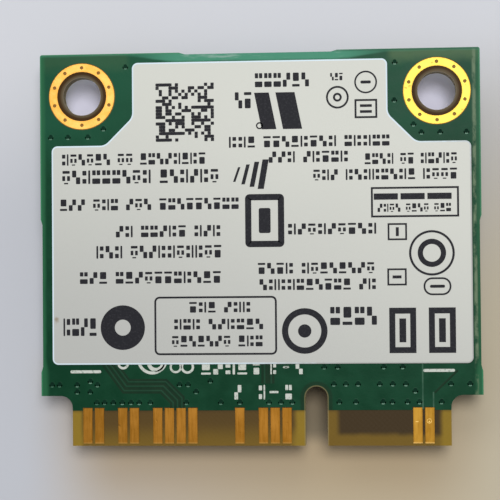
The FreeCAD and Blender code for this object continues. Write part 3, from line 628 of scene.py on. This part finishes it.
def labelFinish():
    look = labelLook
    finish = Finish("labelFilm", Specular_IOR_Level=0.35)
    x, y, z = finish.inMillimetres()
    grain = finish.place.noise(look["grains"], 2, 0.6)
    drift = finish.place.noise(look["drifts"], 2)
    scuff = finish.place.stretched(1, 0.3, 1).noise(look["scuffs"], 4, 0.7)
    scuff = scuff.rise(*look["scuffFade"])
    # painted shade: the label darker towards the bottom and the left, with real grain, drift and
    # scuffs mixed in
    tone = y + x * 0.35 + (drift - 0.5) * 5 + (grain - 0.5) * 3 - scuff * 0.6
    tone = tone.rise(*look["shadeFade"])
    colour = tone.blend(look["shade"], look["paper"])
    spotX, spotY = look["smudgePlace"]
    spot = (finish.place.noise(4, 2) - 0.5) * look["smudgeWander"]
    spot = distance(x - spotX, y - spotY) + spot
    smudge = (1 - spot.rise(*look["smudgeFade"])) * look["smudgeShare"]
    colour = smudge.blend(colour, look["smudge"])
    return finish.put(
        Base_Color=colour,
        Roughness=0.46 + 0.12 * grain + 0.08 * scuff,
        Normal=(grain * 0.5 + finish.place.noise(1.6, 2)).bump(*look["bump"]),
    )


def labelEdgeFinish():
    look = labelLook
    finish = Finish("labelEdge", Specular_IOR_Level=0.3)
    x, y, z = finish.inMillimetres()
    grain = finish.place.noise(3, 2)
    # painted highlight on edges towards the upper left, painted shade on the rest
    lit = (y * 0.8 - x + (grain - 0.5) * 6).rise(*look["glintFade"])
    return finish.put(
        Base_Color=lit.blend(look["shade"], look["edgeGlint"]),
        Roughness=0.4 + 0.1 * grain,
        Normal=grain.bump(0.003, 0.4),
    )


def inkFinish(name, colour, worn, wear):
    finish = Finish(name, Specular_IOR_Level=0.12)
    fade = finish.place.noise(7, 3, 0.6)
    return finish.put(
        Base_Color=fade.rise(*wear).blend(worn, colour),
        Roughness=0.42 + 0.2 * fade,
        Normal=fade.bump(0.004, 0.5),
    )


# Metals, moulded parts and chip parts of the component side
steelLook = {"dull": (0.46, 0.455, 0.44), "bright": (0.66, 0.66, 0.65)}
grainLooks = {
    # slot: name, low and high colour, grains per mm, roughness, metal
    "solder": ("solder", (0.45, 0.45, 0.47), (0.72, 0.72, 0.74), 4, 0.3, 1.0),
    "socket_insulator": ("socketPlastic", (0.55, 0.50, 0.40), (0.70, 0.66, 0.56), 5, 0.5),
    "chip_mould": ("chipMould", (0.012, 0.012, 0.013), (0.03, 0.03, 0.032), 9, 0.55),
    "crystal_ceramic": ("crystalCeramic", (0.10, 0.085, 0.07), (0.17, 0.15, 0.13), 8, 0.6),
    "crystal_metal": ("crystalLid", (0.60, 0.52, 0.36), (0.78, 0.72, 0.56), 6, 0.25, 1.0),
    "capacitor_ceramic": ("capacitorBody", (0.25, 0.16, 0.09), (0.38, 0.26, 0.16), 8, 0.5),
    "resistor_body": ("resistorBody", (0.012, 0.012, 0.014), (0.03, 0.03, 0.034), 8, 0.35),
    "filter_ceramic": ("filterBody", (0.55, 0.55, 0.52), (0.70, 0.70, 0.67), 7, 0.5),
    "coil_ferrite": ("coilFerrite", (0.04, 0.038, 0.035), (0.09, 0.085, 0.08), 9, 0.7),
    "end_caps": ("endCaps", (0.50, 0.50, 0.51), (0.76, 0.76, 0.77), 6, 0.3, 1.0),
}


def steelFinish():
    finish = Finish("tinnedSteel", Metallic=1.0)
    drawn = finish.place.stretched(0.12, 2.4, 2.4).noise(4, 3, 0.6)
    smear = finish.place.noise(0.3, 3, 0.6)
    tone = (drawn * 0.4 + smear * 0.6).rise(0.3, 0.7)
    return finish.put(
        Base_Color=tone.blend(steelLook["dull"], steelLook["bright"]),
        Roughness=0.2 + 0.2 * smear + 0.1 * drawn,
        Normal=(drawn + smear * 1.5).bump(0.008, 0.7),
    )


def grainFinish(name, low, high, perMm, rough, metal=0.0, gloss=0.5):
    finish = Finish(name, Metallic=metal, Specular_IOR_Level=gloss)
    grain = finish.place.noise(perMm, 3, 0.6)
    patch = finish.place.noise(perMm * 0.15, 2)
    return finish.put(
        Base_Color=(grain * 0.6 + patch * 0.4).rise(0.32, 0.66).blend(low, high),
        Roughness=rough + 0.15 * grain,
        Normal=grain.bump(0.01, 0.6),
    )


solderMask = maskFinish()
contactGold = goldFinish("contactGold", goldLook["contactTones"], (1, 10), (2.5, 0.2, 1), 0.4)
ringGold = goldFinish("ringGold", goldLook["ringTones"], (-4, 4), (1, 1, 1), 0.46)
socketGold = goldFinish("socketGold", goldLook["socketTones"], (-4, 4), (1, 1, 1), 0.3)
labelMaterial = labelFinish()
labelEdgeMaterial = labelEdgeFinish()
blackInk = inkFinish("blackInk", (0.016, 0.016, 0.020), (0.045, 0.045, 0.050), (0.2, 0.5))
whiteInk = inkFinish("whiteInk", (0.62, 0.64, 0.57), (0.34, 0.40, 0.33), (0.32, 0.5))
slotFinish = {slot: grainFinish(*look) for slot, look in grainLooks.items()}
slotFinish["laminate"] = laminateFinish()
slotFinish["solder_mask"] = solderMask
slotFinish["gold_plating"] = contactGold
slotFinish["label_film"] = labelMaterial
slotFinish["shield_metal"] = steelFinish()
for part in frame["record"]["subparts"]:
    node = nodes[part["node"]]
    material = slotFinish[part["material_slot"]]
    if part["node"].startswith("screw_ring"):
        material = ringGold if part["node"].endswith("label_side") else socketGold
    if part["node"].startswith("antenna_socket") and material == contactGold:
        material = socketGold
    node.data.materials.clear()
    node.data.materials.append(material)
print("materials:", len(bpy.data.materials))


# Label film: the same outline with softly rounded cut edges, with a painted glint on the edges
# that face the light and painted shade on the others
filmSetup = {
    "weld": 0.001,
    "flat": 1,                          # degrees between faces that become one
    "bevel": 0.03,
    "steps": 2,
    "edge": 0.07,                       # the strip that is seen as the cut edge
    "smooth": 25,                       # degrees
}
film = bpy.data.objects.new("labelFilm", nodes["label"].data.copy())
bpy.context.collection.objects.link(film)
startEdit(film)
bpy.ops.mesh.remove_doubles(threshold=filmSetup["weld"] * mm)
bpy.ops.mesh.dissolve_limited(angle_limit=math.radians(filmSetup["flat"]))
selectVertices(film, lambda place: place.z > filmTop - 0.01 * mm)
bpy.ops.mesh.bevel(offset=filmSetup["bevel"] * mm, segments=filmSetup["steps"], affect="EDGES")
bpy.ops.mesh.select_mode(type="FACE")
bpy.ops.mesh.select_all(action="DESELECT")
bpy.ops.object.mode_set(mode="OBJECT")
widest = max(film.data.polygons, key=lambda face: face.area * face.normal.z)
widest.select = True
bpy.ops.object.mode_set(mode="EDIT")
bpy.ops.mesh.inset(thickness=filmSetup["edge"] * mm)
endEdit()
bpy.ops.object.shade_smooth_by_angle(angle=math.radians(filmSetup["smooth"]))
settle(film, labelMaterial)
film.data.materials.append(labelEdgeMaterial)
widest = max(film.data.polygons, key=lambda face: face.area * face.normal.z)
for face in film.data.polygons:
    if face.index != widest.index and face.normal.z > 0.2:
        face.material_index = 1
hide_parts("label")
print("label film:", len(film.data.polygons), "faces")


# Ink on the label, first the rows of plain marks
inkSetup = {
    "thick": 0.014,
    "sink": 0.004,
    "wordGap": 0.7,                     # this and the next are shares of the marks' pitch
    "markFill": 0.8,
    "barCorner": 0.12,                  # on a bar 1 mm wide and long, before it is stretched
}
inkZ = filmTop - inkSetup["sink"] * mm
inkHigh = inkSetup["thick"]
# Each mark is two to four bars: centre across and up, width and height, as shares of its box
markShapes = [
    [(0.5, 0.91, 1.0, 0.18), (0.5, 0.3, 0.8, 0.6)],
    [(0.26, 0.75, 0.52, 0.5), (0.74, 0.25, 0.52, 0.5)],
    [(0.22, 0.82, 0.44, 0.36), (0.78, 0.82, 0.44, 0.36), (0.5, 0.2, 1.0, 0.4)],
    [(0.12, 0.5, 0.24, 1.0), (0.72, 0.8, 0.5, 0.34), (0.72, 0.2, 0.5, 0.34)],
    [(0.74, 0.75, 0.52, 0.5), (0.26, 0.25, 0.52, 0.5)],
    [(0.5, 0.7, 0.8, 0.6), (0.5, 0.09, 1.0, 0.18)],
    [(0.5, 0.88, 0.9, 0.2), (0.2, 0.42, 0.36, 0.36), (0.8, 0.42, 0.36, 0.36),
     (0.5, 0.05, 0.5, 0.1)],
    [(0.88, 0.5, 0.24, 1.0), (0.28, 0.8, 0.5, 0.34), (0.28, 0.2, 0.5, 0.34)],
]
printRows = [
    # x, y, length, height, marks in each word
    (-8.55, 6.15, 10.0, 0.78, (6, 2, 8)),
    (-8.1, 4.95, 10.9, 0.93, (9, 6)),
    (-7.5, 3.05, 12.4, 0.78, (3, 3, 3, 9)),
    (-6.2, 1.2, 7.3, 0.78, (2, 5, 3)),
    (-6.85, -0.2, 8.7, 0.86, (3, 10)),
    (-7.45, -1.95, 9.8, 0.8, (3, 11)),
    (3.95, -2.5, 8.0, 0.75, (10, 2)),
    (3.85, -1.4, 8.0, 0.75, (4, 8)),
    (4.95, 1.25, 6.1, 0.75, (9,)),
    (8.55, 4.9, 9.8, 0.74, (3, 8, 4)),
    (10.3, 5.95, 6.3, 0.74, (4, 2, 5)),
    (3.4, 6.15, 5.5, 0.76, (3, 5)),
    (3.45, 7.2, 11.0, 0.75, (3, 8, 5)),
    (1.65, 11.4, 3.8, 0.95, (6,)),
    (5.35, 11.55, 0.9, 0.5, (3,)),
    (-2.7, -4.0, 4.3, 0.72, (3, 3)),
    (-2.8, -5.15, 6.2, 0.72, (3, 6)),
    (-2.9, -6.3, 6.3, 0.74, (7, 3)),
    (10.5, 2.62, 5.0, 0.56, (4, 4, 3)),
    (-12.3, -5.3, 2.4, 1.2, (4,)),
    (6.35, -4.65, 3.3, 1.22, (4,)),
    (-1.0, 10.05, 1.25, 1.1, (2,)),
]


def printRow(master, row, z, shift):
    # the marks follow each other by a plain remainder rule that starts from shift
    x, y, length, high, words = row
    gaps = (len(words) - 1) * inkSetup["wordGap"]
    pitch = length / (sum(words) + gaps)
    wide = pitch * inkSetup["markFill"]
    start = x - length / 2 + (pitch - wide) / 2
    made = []
    for word in words:
        for step in range(word):
            shift = (shift * 5 + 3) % 1009
            for across, up, share, tall in markShapes[shift % len(markShapes)]:
                markX, markY = start + wide * across, y + high * (up - 0.5)
                made.append(copyOf(master, markX, markY, z, (wide * share, high * tall, 1)))
            start += pitch
        start += pitch * inkSetup["wordGap"]
    return made


barMaster = plate(0, 0, 0, 1, 1, inkHigh, inkSetup["barCorner"], 2)
rowBars = []
for index, row in enumerate(printRows):
    rowBars += printRow(barMaster, row, inkZ, index * 11 + 4)
rowPrint = joined(rowBars, "labelPrintRows")
settle(rowPrint, blackInk)
print("print rows:", len(rowBars), "bars")


# Block pattern: runs of modules by a plain arithmetic rule
blockSetup = {"x": -5.0, "y": 9.3, "module": 0.222, "count": 18, "closeUp": 0.006}


def blockRuns(row, count):
    # first and last column of each dark run in a row
    start = None
    for column in range(count + 1):
        # a module is dark where the remainder of a sum of squares is small
        total = row * row * 7 + column * column * 3 + row * column + column * 5
        dark = column < count and total % 17 < 9
        if dark and start is None:
            start = column
        elif not dark and start is not None:
            yield start, column
            start = None


blockBars = []
module, count = blockSetup["module"], blockSetup["count"]
left = blockSetup["x"] - module * count / 2
foot = blockSetup["y"] - module * count / 2
for row in range(count):
    for first, last in blockRuns(row, count):
        x, y = left + module * (first + last) / 2, foot + module * (row + 0.5)
        stretch = (module * (last - first), module - blockSetup["closeUp"], 1)
        blockBars.append(copyOf(barMaster, x, y, inkZ, stretch))
blockPrint = joined(blockBars, "labelBlockPattern")
settle(blockPrint, blackInk)
discard(barMaster)
print("block pattern:", len(blockBars), "runs")


# Larger plain shapes on the label
shapeSetup = {
    "rings": [
        # x, y, outer and inner radius, corners
        (-9.35, -5.35, 1.52, 0.55, 48),
        (3.05, -5.65, 1.54, 1.12, 48),
        (3.05, -5.65, 0.45, 0, 32),
        (11.65, -0.45, 1.53, 1.38, 48),
        (11.65, -0.45, 0.95, 0.6, 48),
        (0.1, 8.3, 0.24, 0.15, 20),
        (5.4, 10.15, 0.77, 0.64, 36),
        (5.4, 10.15, 0.3, 0.16, 24),
        (7.32, 11.15, 0.77, 0.66, 36),
    ],
    "frames": [
        # x, y, width, length, wall, corner radius, steps round a corner
        (-3.0, -5.25, 8.35, 3.98, 0.13, 0.35, 4),
        (9.65, -5.65, 1.8, 3.05, 0.4, 0, 0),
        (12.3, -5.65, 1.8, 3.05, 0.4, 0, 0),
        (9.3, -2.05, 1.3, 1.15, 0.12, 0, 0),
        (9.35, 1.0, 1.3, 1.15, 0.12, 0, 0),
        (12.0, -2.7, 1.86, 1.2, 0.12, 0.58, 8),
        (0.4, 1.85, 2.65, 3.6, 0.42, 0.3, 4),
        (10.55, 3.0, 5.9, 2.05, 0.13, 0, 0),
        (7.32, 9.35, 1.53, 1.29, 0.13, 0, 0),
    ],
    "plates": [
        # x, y, width, length, corner radius
        (9.65, -5.65, 0.45, 1.6, 0),
        (12.3, -5.65, 0.45, 1.6, 0),
        (9.3, -2.05, 0.6, 0.2, 0),
        (9.35, 1.0, 0.2, 0.6, 0),
        (12.0, -2.7, 1.0, 0.2, 0.08),
        (0.4, 1.85, 0.8, 1.7, 0.12),
        (8.6, 3.38, 1.62, 0.42, 0),
        (10.4, 3.38, 1.62, 0.42, 0),
        (12.2, 3.38, 1.62, 0.42, 0),
        (7.32, 11.15, 0.7, 0.2, 0.08),
        (7.32, 9.55, 0.8, 0.18, 0),
        (7.32, 9.15, 0.8, 0.18, 0),
    ],
    "slants": [
        # x, y, width, length, lean
        (0.75, 9.3, 1.0, 2.5, -0.5),
        (2.35, 9.3, 1.3, 2.5, -0.5),
        (0.15, 5.0, 0.42, 2.0, 0.35),
        (-0.45, 5.0, 0.32, 1.7, 0.35),
        (-1.05, 5.0, 0.24, 1.35, 0.35),
        (-1.65, 5.0, 0.16, 1.0, 0.35),
    ],
}
shapes = []
for x, y, outer, inner, corners in shapeSetup["rings"]:
    shapes.append(ringPlate(x, y, inkZ, outer, inner, inkHigh, corners))
for x, y, width, length, wall, corner, steps in shapeSetup["frames"]:
    shapes.append(framePlate(x, y, inkZ, width, length, wall, inkHigh, corner, steps))
for x, y, width, length, corner in shapeSetup["plates"]:
    shapes.append(plate(x, y, inkZ, width, length, inkHigh, corner))
for x, y, width, length, lean in shapeSetup["slants"]:
    shapes.append(slantPlate(x, y, inkZ, width, length, lean, inkHigh))
shapePrint = joined(shapes, "labelPrintShapes")
settle(shapePrint, blackInk)
print("label shapes:", len(shapePrint.data.polygons), "faces")


# White legend on the board: two bars, and marks that run on under the label
legendSetup = {
    "thick": 0.016,
    "sink": 0.004,
    "bars": [
        # x, y, width, length, corner radius
        (-11.93, -8.35, 2.12, 0.2, 0.095),
        (12.05, -8.35, 2.12, 0.2, 0.095),
    ],
    "rings": [
        # x, y, outer and inner radius, corners
        (-7.35, -7.5, 1.05, 0.85, 48),
        (-7.1, -7.75, 0.62, 0.36, 32),
        (-9.35, -7.8, 0.4, 0.24, 24),
        (-5.75, -8.05, 0.42, 0.28, 24),
        (-4.95, -8.05, 0.46, 0.3, 24),
    ],
    "rows": [
        # as in printRows
        (-2.45, -8.2, 3.3, 0.74, (4,)),
        (-0.25, -8.2, 0.6, 0.74, (1,)),
        (0.9, -8.2, 0.5, 0.74, (1,)),
        (1.76, -8.1, 0.54, 0.15, (1,)),
        (2.65, -8.2, 0.6, 0.74, (1,)),
        (-1.52, -9.78, 0.6, 0.98, (1,)),
        (0.11, -9.78, 0.55, 0.98, (1,)),
        (1.92, -9.78, 0.55, 0.98, (1,)),
    ],
    "dash": (0.93, -9.77, 0.6, 0.15),   # x, y, width, length
}
legendZ = maskTop - legendSetup["sink"] * mm
legendHigh = legendSetup["thick"]
legend = []
for x, y, width, length, corner in legendSetup["bars"]:
    legend.append(plate(x, y, legendZ, width, length, legendHigh, corner))
for x, y, outer, inner, corners in legendSetup["rings"]:
    legend.append(ringPlate(x, y, legendZ, outer, inner, legendHigh, corners))
strokeMaster = plate(0, 0, 0, 1, 1, legendHigh, inkSetup["barCorner"], 2)
for index, row in enumerate(legendSetup["rows"]):
    legend += printRow(strokeMaster, row, legendZ, index * 7 + 2)
x, y, width, length = legendSetup["dash"]
legend.append(copyOf(strokeMaster, x, y, legendZ, (width, length, 1)))
discard(strokeMaster)
boardLegend = joined(legend, "boardLegend")
settle(boardLegend, whiteInk)
print("board legend:", len(boardLegend.data.polygons), "faces")


# Vias under the mask: each a low rim round a dark dimple, whose dark pit, set a little high, is
# the hole with painted shade, and whose pale lower lip is a painted highlight
viaSetup = {
    "sink": 0.002,
    "rim": 0.23,
    "rimWide": 0.1,
    "rimHigh": 0.01,
    "pit": 0.13,
    "pitUp": 0.04,
    "pitHigh": 0.014,                   # the lip's height as well
    "lip": 0.2,
    "lipWide": 0.065,
    "lipTop": -0.09,                    # the ring is cut away above this
    "smooth": 50,                       # degrees
}
viaRows = {
    # y: places along x
    -10.43: (-11.18, -10.65, -10.05, -9.43, -8.84, -8.27, -7.5, -5.04, -2.69, -1.39,
             0.59, 1.4, 2.17, 5.34, 6.46, 8.29, 8.91, 9.92, 10.72, 12.2),
    -9.7: (-12.53, -11.63, -4.37, 10.45),
    -9.22: (-14.26, -13.75, -12.53, -11.14, -5.5, -4.92,
            4.98, 5.79, 6.61, 8.07, 8.94, 9.82, 12.84, 14.12),
    -8.98: (-11.62, -3.39),
    -8.07: (4.34, 5.25, 8.35, 9.62),
    7.73: (-14.27, -13.08, -11.7, 11.04, 12.3, 14.06),
    8.28: (-10.62, 10.51),
    9.93: (9.24,),
    12.5: (-9.08, 9.29),
}


def viaRim():
    half, high = viaSetup["rimWide"] / 2, viaSetup["rimHigh"]
    bpy.ops.mesh.primitive_circle_add(vertices=16, radius=viaSetup["rim"] * mm, fill_type="NGON")
    piece = bpy.context.active_object
    startEdit(piece)
    bpy.ops.mesh.inset(thickness=half * mm, depth=high * mm)
    bpy.ops.mesh.inset(thickness=half * mm, depth=-high * mm)
    endEdit()
    return piece


def viaPitAndShade():
    return ringPlate(0, 0, 0, viaSetup["pit"], 0, viaSetup["pitHigh"], 16)


def viaLipHighlight():
    # the lower part of a narrow ring
    inner = viaSetup["lip"] - viaSetup["lipWide"]
    piece = ringPlate(0, 0, 0, viaSetup["lip"], inner, viaSetup["pitHigh"], 20)
    startEdit(piece)
    cutPlace = (0, viaSetup["lipTop"] * mm, 0)
    bpy.ops.mesh.bisect(plane_co=cutPlace, plane_no=(0, 1, 0), use_fill=True, clear_outer=True)
    endEdit()
    return piece


viaZ = maskTop - viaSetup["sink"] * mm
masters = [viaRim(), viaPitAndShade(), viaLipHighlight()]
rims, pits, lipHighlights = [], [], []
for y, places in viaRows.items():
    for x in places:
        rims.append(copyOf(masters[0], x, y, viaZ))
        pits.append(copyOf(masters[1], x, y + viaSetup["pitUp"], viaZ))
        lipHighlights.append(copyOf(masters[2], x, y, viaZ))
discard(*masters)
viaRims = joined(rims, "viaRims")
bpy.ops.object.shade_smooth_by_angle(angle=math.radians(viaSetup["smooth"]))
settle(viaRims, solderMask)
# painted shade and highlight: a dark pit set high in each dimple, and a pale lip below it
pitAndShadeLook = ("viaPitAndShade", (0.002, 0.018, 0.010), (0.006, 0.036, 0.019), 1.5, 0.6)
lipHighlightLook = ("viaLipHighlight", (0.018, 0.095, 0.05), (0.17, 0.31, 0.22), 1.0, 0.35)
settle(joined(pits, "viaPitsAndShade"), grainFinish(*pitAndShadeLook, gloss=0.05))
settle(joined(lipHighlights, "viaLipHighlights"), grainFinish(*lipHighlightLook, gloss=0.2))
print("vias:", len(rims))


# Tracks under the mask: low rounded ridges along routes of 45 degree turns, in darker gaps
trackRoutes = [
    [(-9.95, -7.8), (-9.0, -9.05), (-6.45, -9.05), (-5.35, -10.15), (-5.35, -10.95)],
    [(-10.3, -7.8), (-9.15, -9.35), (-6.6, -9.35), (-5.65, -10.3), (-5.65, -10.95)],
    [(-10.65, -7.8), (-9.3, -9.65), (-6.75, -9.65), (-5.95, -10.45), (-5.95, -10.95)],
    [(0.3, -7.8), (0.3, -9.2)],
    [(0.75, -7.8), (0.75, -9.2)],
]
# On the right the edges of a copper area show instead, as low ridges with a painted highlight
# where they run upright and painted shade on the diagonal
highlitEdges = [[(10.95, -7.8), (10.95, -10.95)], [(11.66, -9.8), (11.66, -10.95)]]
shadedEdges = [[(13.3, -8.35), (11.74, -9.85)]]
trackLook = ("overTrack", (0.006, 0.042, 0.019), (0.011, 0.060, 0.028), 1, 0.4)
# the gaps' colour is real; the same material also paints the shade on the diagonal copper edge
gapAndShadeLook = ("overGapAndShade", (0.005, 0.028, 0.013), (0.012, 0.036, 0.017), 1, 0.4)
edgeHighlightLook = ("overEdgeHighlight", (0.018, 0.078, 0.042), (0.055, 0.13, 0.08), 1.5, 0.4)
trackMaterial = grainFinish(*trackLook, gloss=0.1)
gapAndShadeMaterial = grainFinish(*gapAndShadeLook, gloss=0.06)
edgeHighlightMaterial = grainFinish(*edgeHighlightLook, gloss=0.1)
ridgeSmooth = 40                        # degrees
ridgeSetup = {
    # name: routes, width, height, material
    "boardTracks": (trackRoutes, 0.15, 0.009, trackMaterial),
    "boardTrackGaps": (trackRoutes, 0.44, 0.005, gapAndShadeMaterial),
    "copperEdgeHighlights": (highlitEdges, 0.1, 0.008, edgeHighlightMaterial),
    "copperEdgeShade": (shadedEdges, 0.14, 0.006, gapAndShadeMaterial),
}


def track(route, wide, high):
    first = route[0]
    bpy.ops.mesh.primitive_plane_add(size=mm, location=(first[0] * mm, first[1] * mm, maskTop))
    piece = bpy.context.active_object
    startEdit(piece)
    bpy.ops.mesh.merge(type="CENTER")
    for before, after in zip(route, route[1:]):
        move = ((after[0] - before[0]) * mm, (after[1] - before[1]) * mm, 0)
        bpy.ops.mesh.extrude_region_move(TRANSFORM_OT_translate={"value": move})
    endEdit()
    bpy.ops.object.convert(target="CURVE")
    piece.data.bevel_depth = wide / 2 * mm
    piece.data.bevel_resolution = 1
    piece.data.use_fill_caps = True
    bpy.ops.object.convert(target="MESH")
    piece = bpy.context.active_object
    piece.scale = (1, 1, high / (wide / 2))
    return piece


def ridges(name, routes, wide, high, material):
    whole = joined([track(route, wide, high) for route in routes], name)
    startEdit(whole)
    endEdit()
    bpy.ops.object.shade_smooth_by_angle(angle=math.radians(ridgeSmooth))
    settle(whole, material)


for name, ridgeValues in ridgeSetup.items():
    ridges(name, *ridgeValues)
print("tracks:", len(trackRoutes), "and", len(highlitEdges + shadedEdges), "edges")


# Faint marks that test probes left on the last two contacts: a bar, and a dot in a ring
probeSetup = {
    "y": -11.78,
    "high": 0.008,
    "sink": 0.004,
    "bar": (10.54, 0.2, 0.05, 0.02),    # x, width, length, corner radius
    "dot": (11.36, 0.05),               # x, radius
    "ring": (11.36, 0.16, 0.13),        # x, outer and inner radius
    "ringUp": 0.04,
}


def probePieces():
    y, high = probeSetup["y"], probeSetup["high"]
    z = contactHigh.z - probeSetup["sink"] * mm
    barX, width, length, corner = probeSetup["bar"]
    dotX, dot = probeSetup["dot"]
    ringX, outer, inner = probeSetup["ring"]
    return [
        plate(barX, y, z, width, length, high, corner),
        ringPlate(dotX, y, z, dot, 0, high, 12),
        ringPlate(ringX, y + probeSetup["ringUp"], z, outer, inner, high, 20),
    ]


probeMaterial = grainFinish("probeMark", (0.50, 0.28, 0.05), (0.80, 0.54, 0.17), 4, 0.35, 1.0)
settle(joined(probePieces(), "probeMarks"), probeMaterial)
print("probe marks set")


# Floor
floorSetup = {
    "side": 1600,
    "drop": 0.02,                       # under the lid's face
    "far": (0.69, 0.695, 0.725),
    "beside": (0.565, 0.575, 0.61),
    "near": (0.57, 0.50, 0.365),
    "fade": (1, 15),                    # from the colour beside the card to the far one, along Y
    "warmFade": (-23, 2),               # from the near colour to the other two, along Y less X
    "amber": (0.50, 0.37, 0.215),       # light that comes down through the bare laminate
    "amberHalf": (9.5, 17.5),
    "amberFade": (-23, -13),
    "amberEnd": (-9, -6),               # it ends under the card
    "amberShare": 0.85,
    "litThroughHoles": (0.84, 0.83, 0.99),
    "holeFade": (1.1, 2.3),
    "shadeThroughNotch": (0.26, 0.21, 0.135),
    "notchHalf": (0.8, 1.3),
    "notchFoot": (-0.5, 0.8),           # from the tongue's end
    "notchEnd": (-9, -7.5),
}


def floorFinish():
    look = floorSetup
    finish = Finish("paleTable", Roughness=0.75, IOR=1.4)
    x, y, z = finish.inMillimetres()
    # painted shade: the floor darker beside the card and towards the lower right, where it is
    # also warmer
    colour = y.rise(*look["fade"]).blend(look["beside"], look["far"])
    colour = (y - x).rise(*look["warmFade"]).blend(look["near"], colour)
    amber = y.rise(*look["amberFade"]) * (1 - abs(x).rise(*look["amberHalf"]))
    amber = amber * (1 - y.rise(*look["amberEnd"])) * look["amberShare"]
    colour = amber.blend(colour, look["amber"])
    # painted light: a pale patch on the floor under each screw hole, which lies in the card's
    # shadow
    colour = holeDistance(x, y).rise(*look["holeFade"]).blend(look["litThroughHoles"], colour)
    # painted shadow: a dark patch on the floor seen through the key slot
    notchShade = 1 - abs(x - tongueLook["keyX"]).rise(*look["notchHalf"])
    notchShade = notchShade * (y - tongueEnd).rise(*look["notchFoot"]) * (1 - y.rise(*look["notchEnd"]))
    colour = notchShade.blend(colour, look["shadeThroughNotch"])
    return finish.put(Base_Color=colour, Normal=finish.place.noise(1.4, 3).bump(0.01, 0.3))


bpy.ops.mesh.primitive_plane_add(
    size=floorSetup["side"] * mm, location=(0, 0, cadBox[0].z - floorSetup["drop"] * mm)
)
floor = bpy.context.active_object
floor.name = "floor"
freeze(floor)
floor.data.materials.append(floorFinish())


# Lamps, world and camera
lampSetup = {
    # name: place, target, size across and along, watts, colour
    "keyPanel": ((50, 105, 430), (0, 0, 0), (170, 150), 1.1, (0.98, 0.98, 0.985)),
    "backPanel": ((-80, 330, 300), (0, 0, 0), (420, 220), 0.42, (0.90, 0.95, 1.0)),
    "leftPanel": ((-320, -40, 260), (0, 0, 0), (240, 240), 0.16, (0.93, 0.96, 1.0)),
}
worldSetup = {"colour": (0.93, 0.95, 1.0), "light": 0.28}
cameraSetup = {
    "lens": 108,                        # mm on Blender's 36 mm sensor
    "place": (6.59, -2.42, 104.77),
    "turn": (1.25, 4.07, -0.47),        # degrees
    "nearest": 1,
}


def aimed(place, target):
    return (Vector(target) - Vector(place)).to_track_quat("-Z", "Y").to_euler()


for name, (place, target, size, watts, colour) in lampSetup.items():
    bpy.ops.object.light_add(type="AREA", location=[value * mm for value in place])
    lamp = bpy.context.active_object
    lamp.name = name
    lamp.rotation_euler = aimed(place, target)
    lamp.data.shape = "RECTANGLE"
    lamp.data.size = size[0] * mm
    lamp.data.size_y = size[1] * mm
    lamp.data.energy = watts
    lamp.data.color = colour

world = bpy.data.worlds.new("studio")
bpy.context.scene.world = world
world.use_nodes = True
background = world.node_tree.nodes["Background"]
feed(background.inputs["Color"], worldSetup["colour"])
feed(background.inputs["Strength"], worldSetup["light"])

bpy.ops.object.camera_add(location=[value * mm for value in cameraSetup["place"]])
camera = bpy.context.active_object
camera.name = "photoCamera"
camera.rotation_euler = [math.radians(value) for value in cameraSetup["turn"]]
camera.data.lens = cameraSetup["lens"]
camera.data.clip_start = cameraSetup["nearest"] * mm
bpy.context.scene.camera = camera
bpy.context.scene.view_settings.view_transform = "Standard"
print("stage, lamps and camera set")
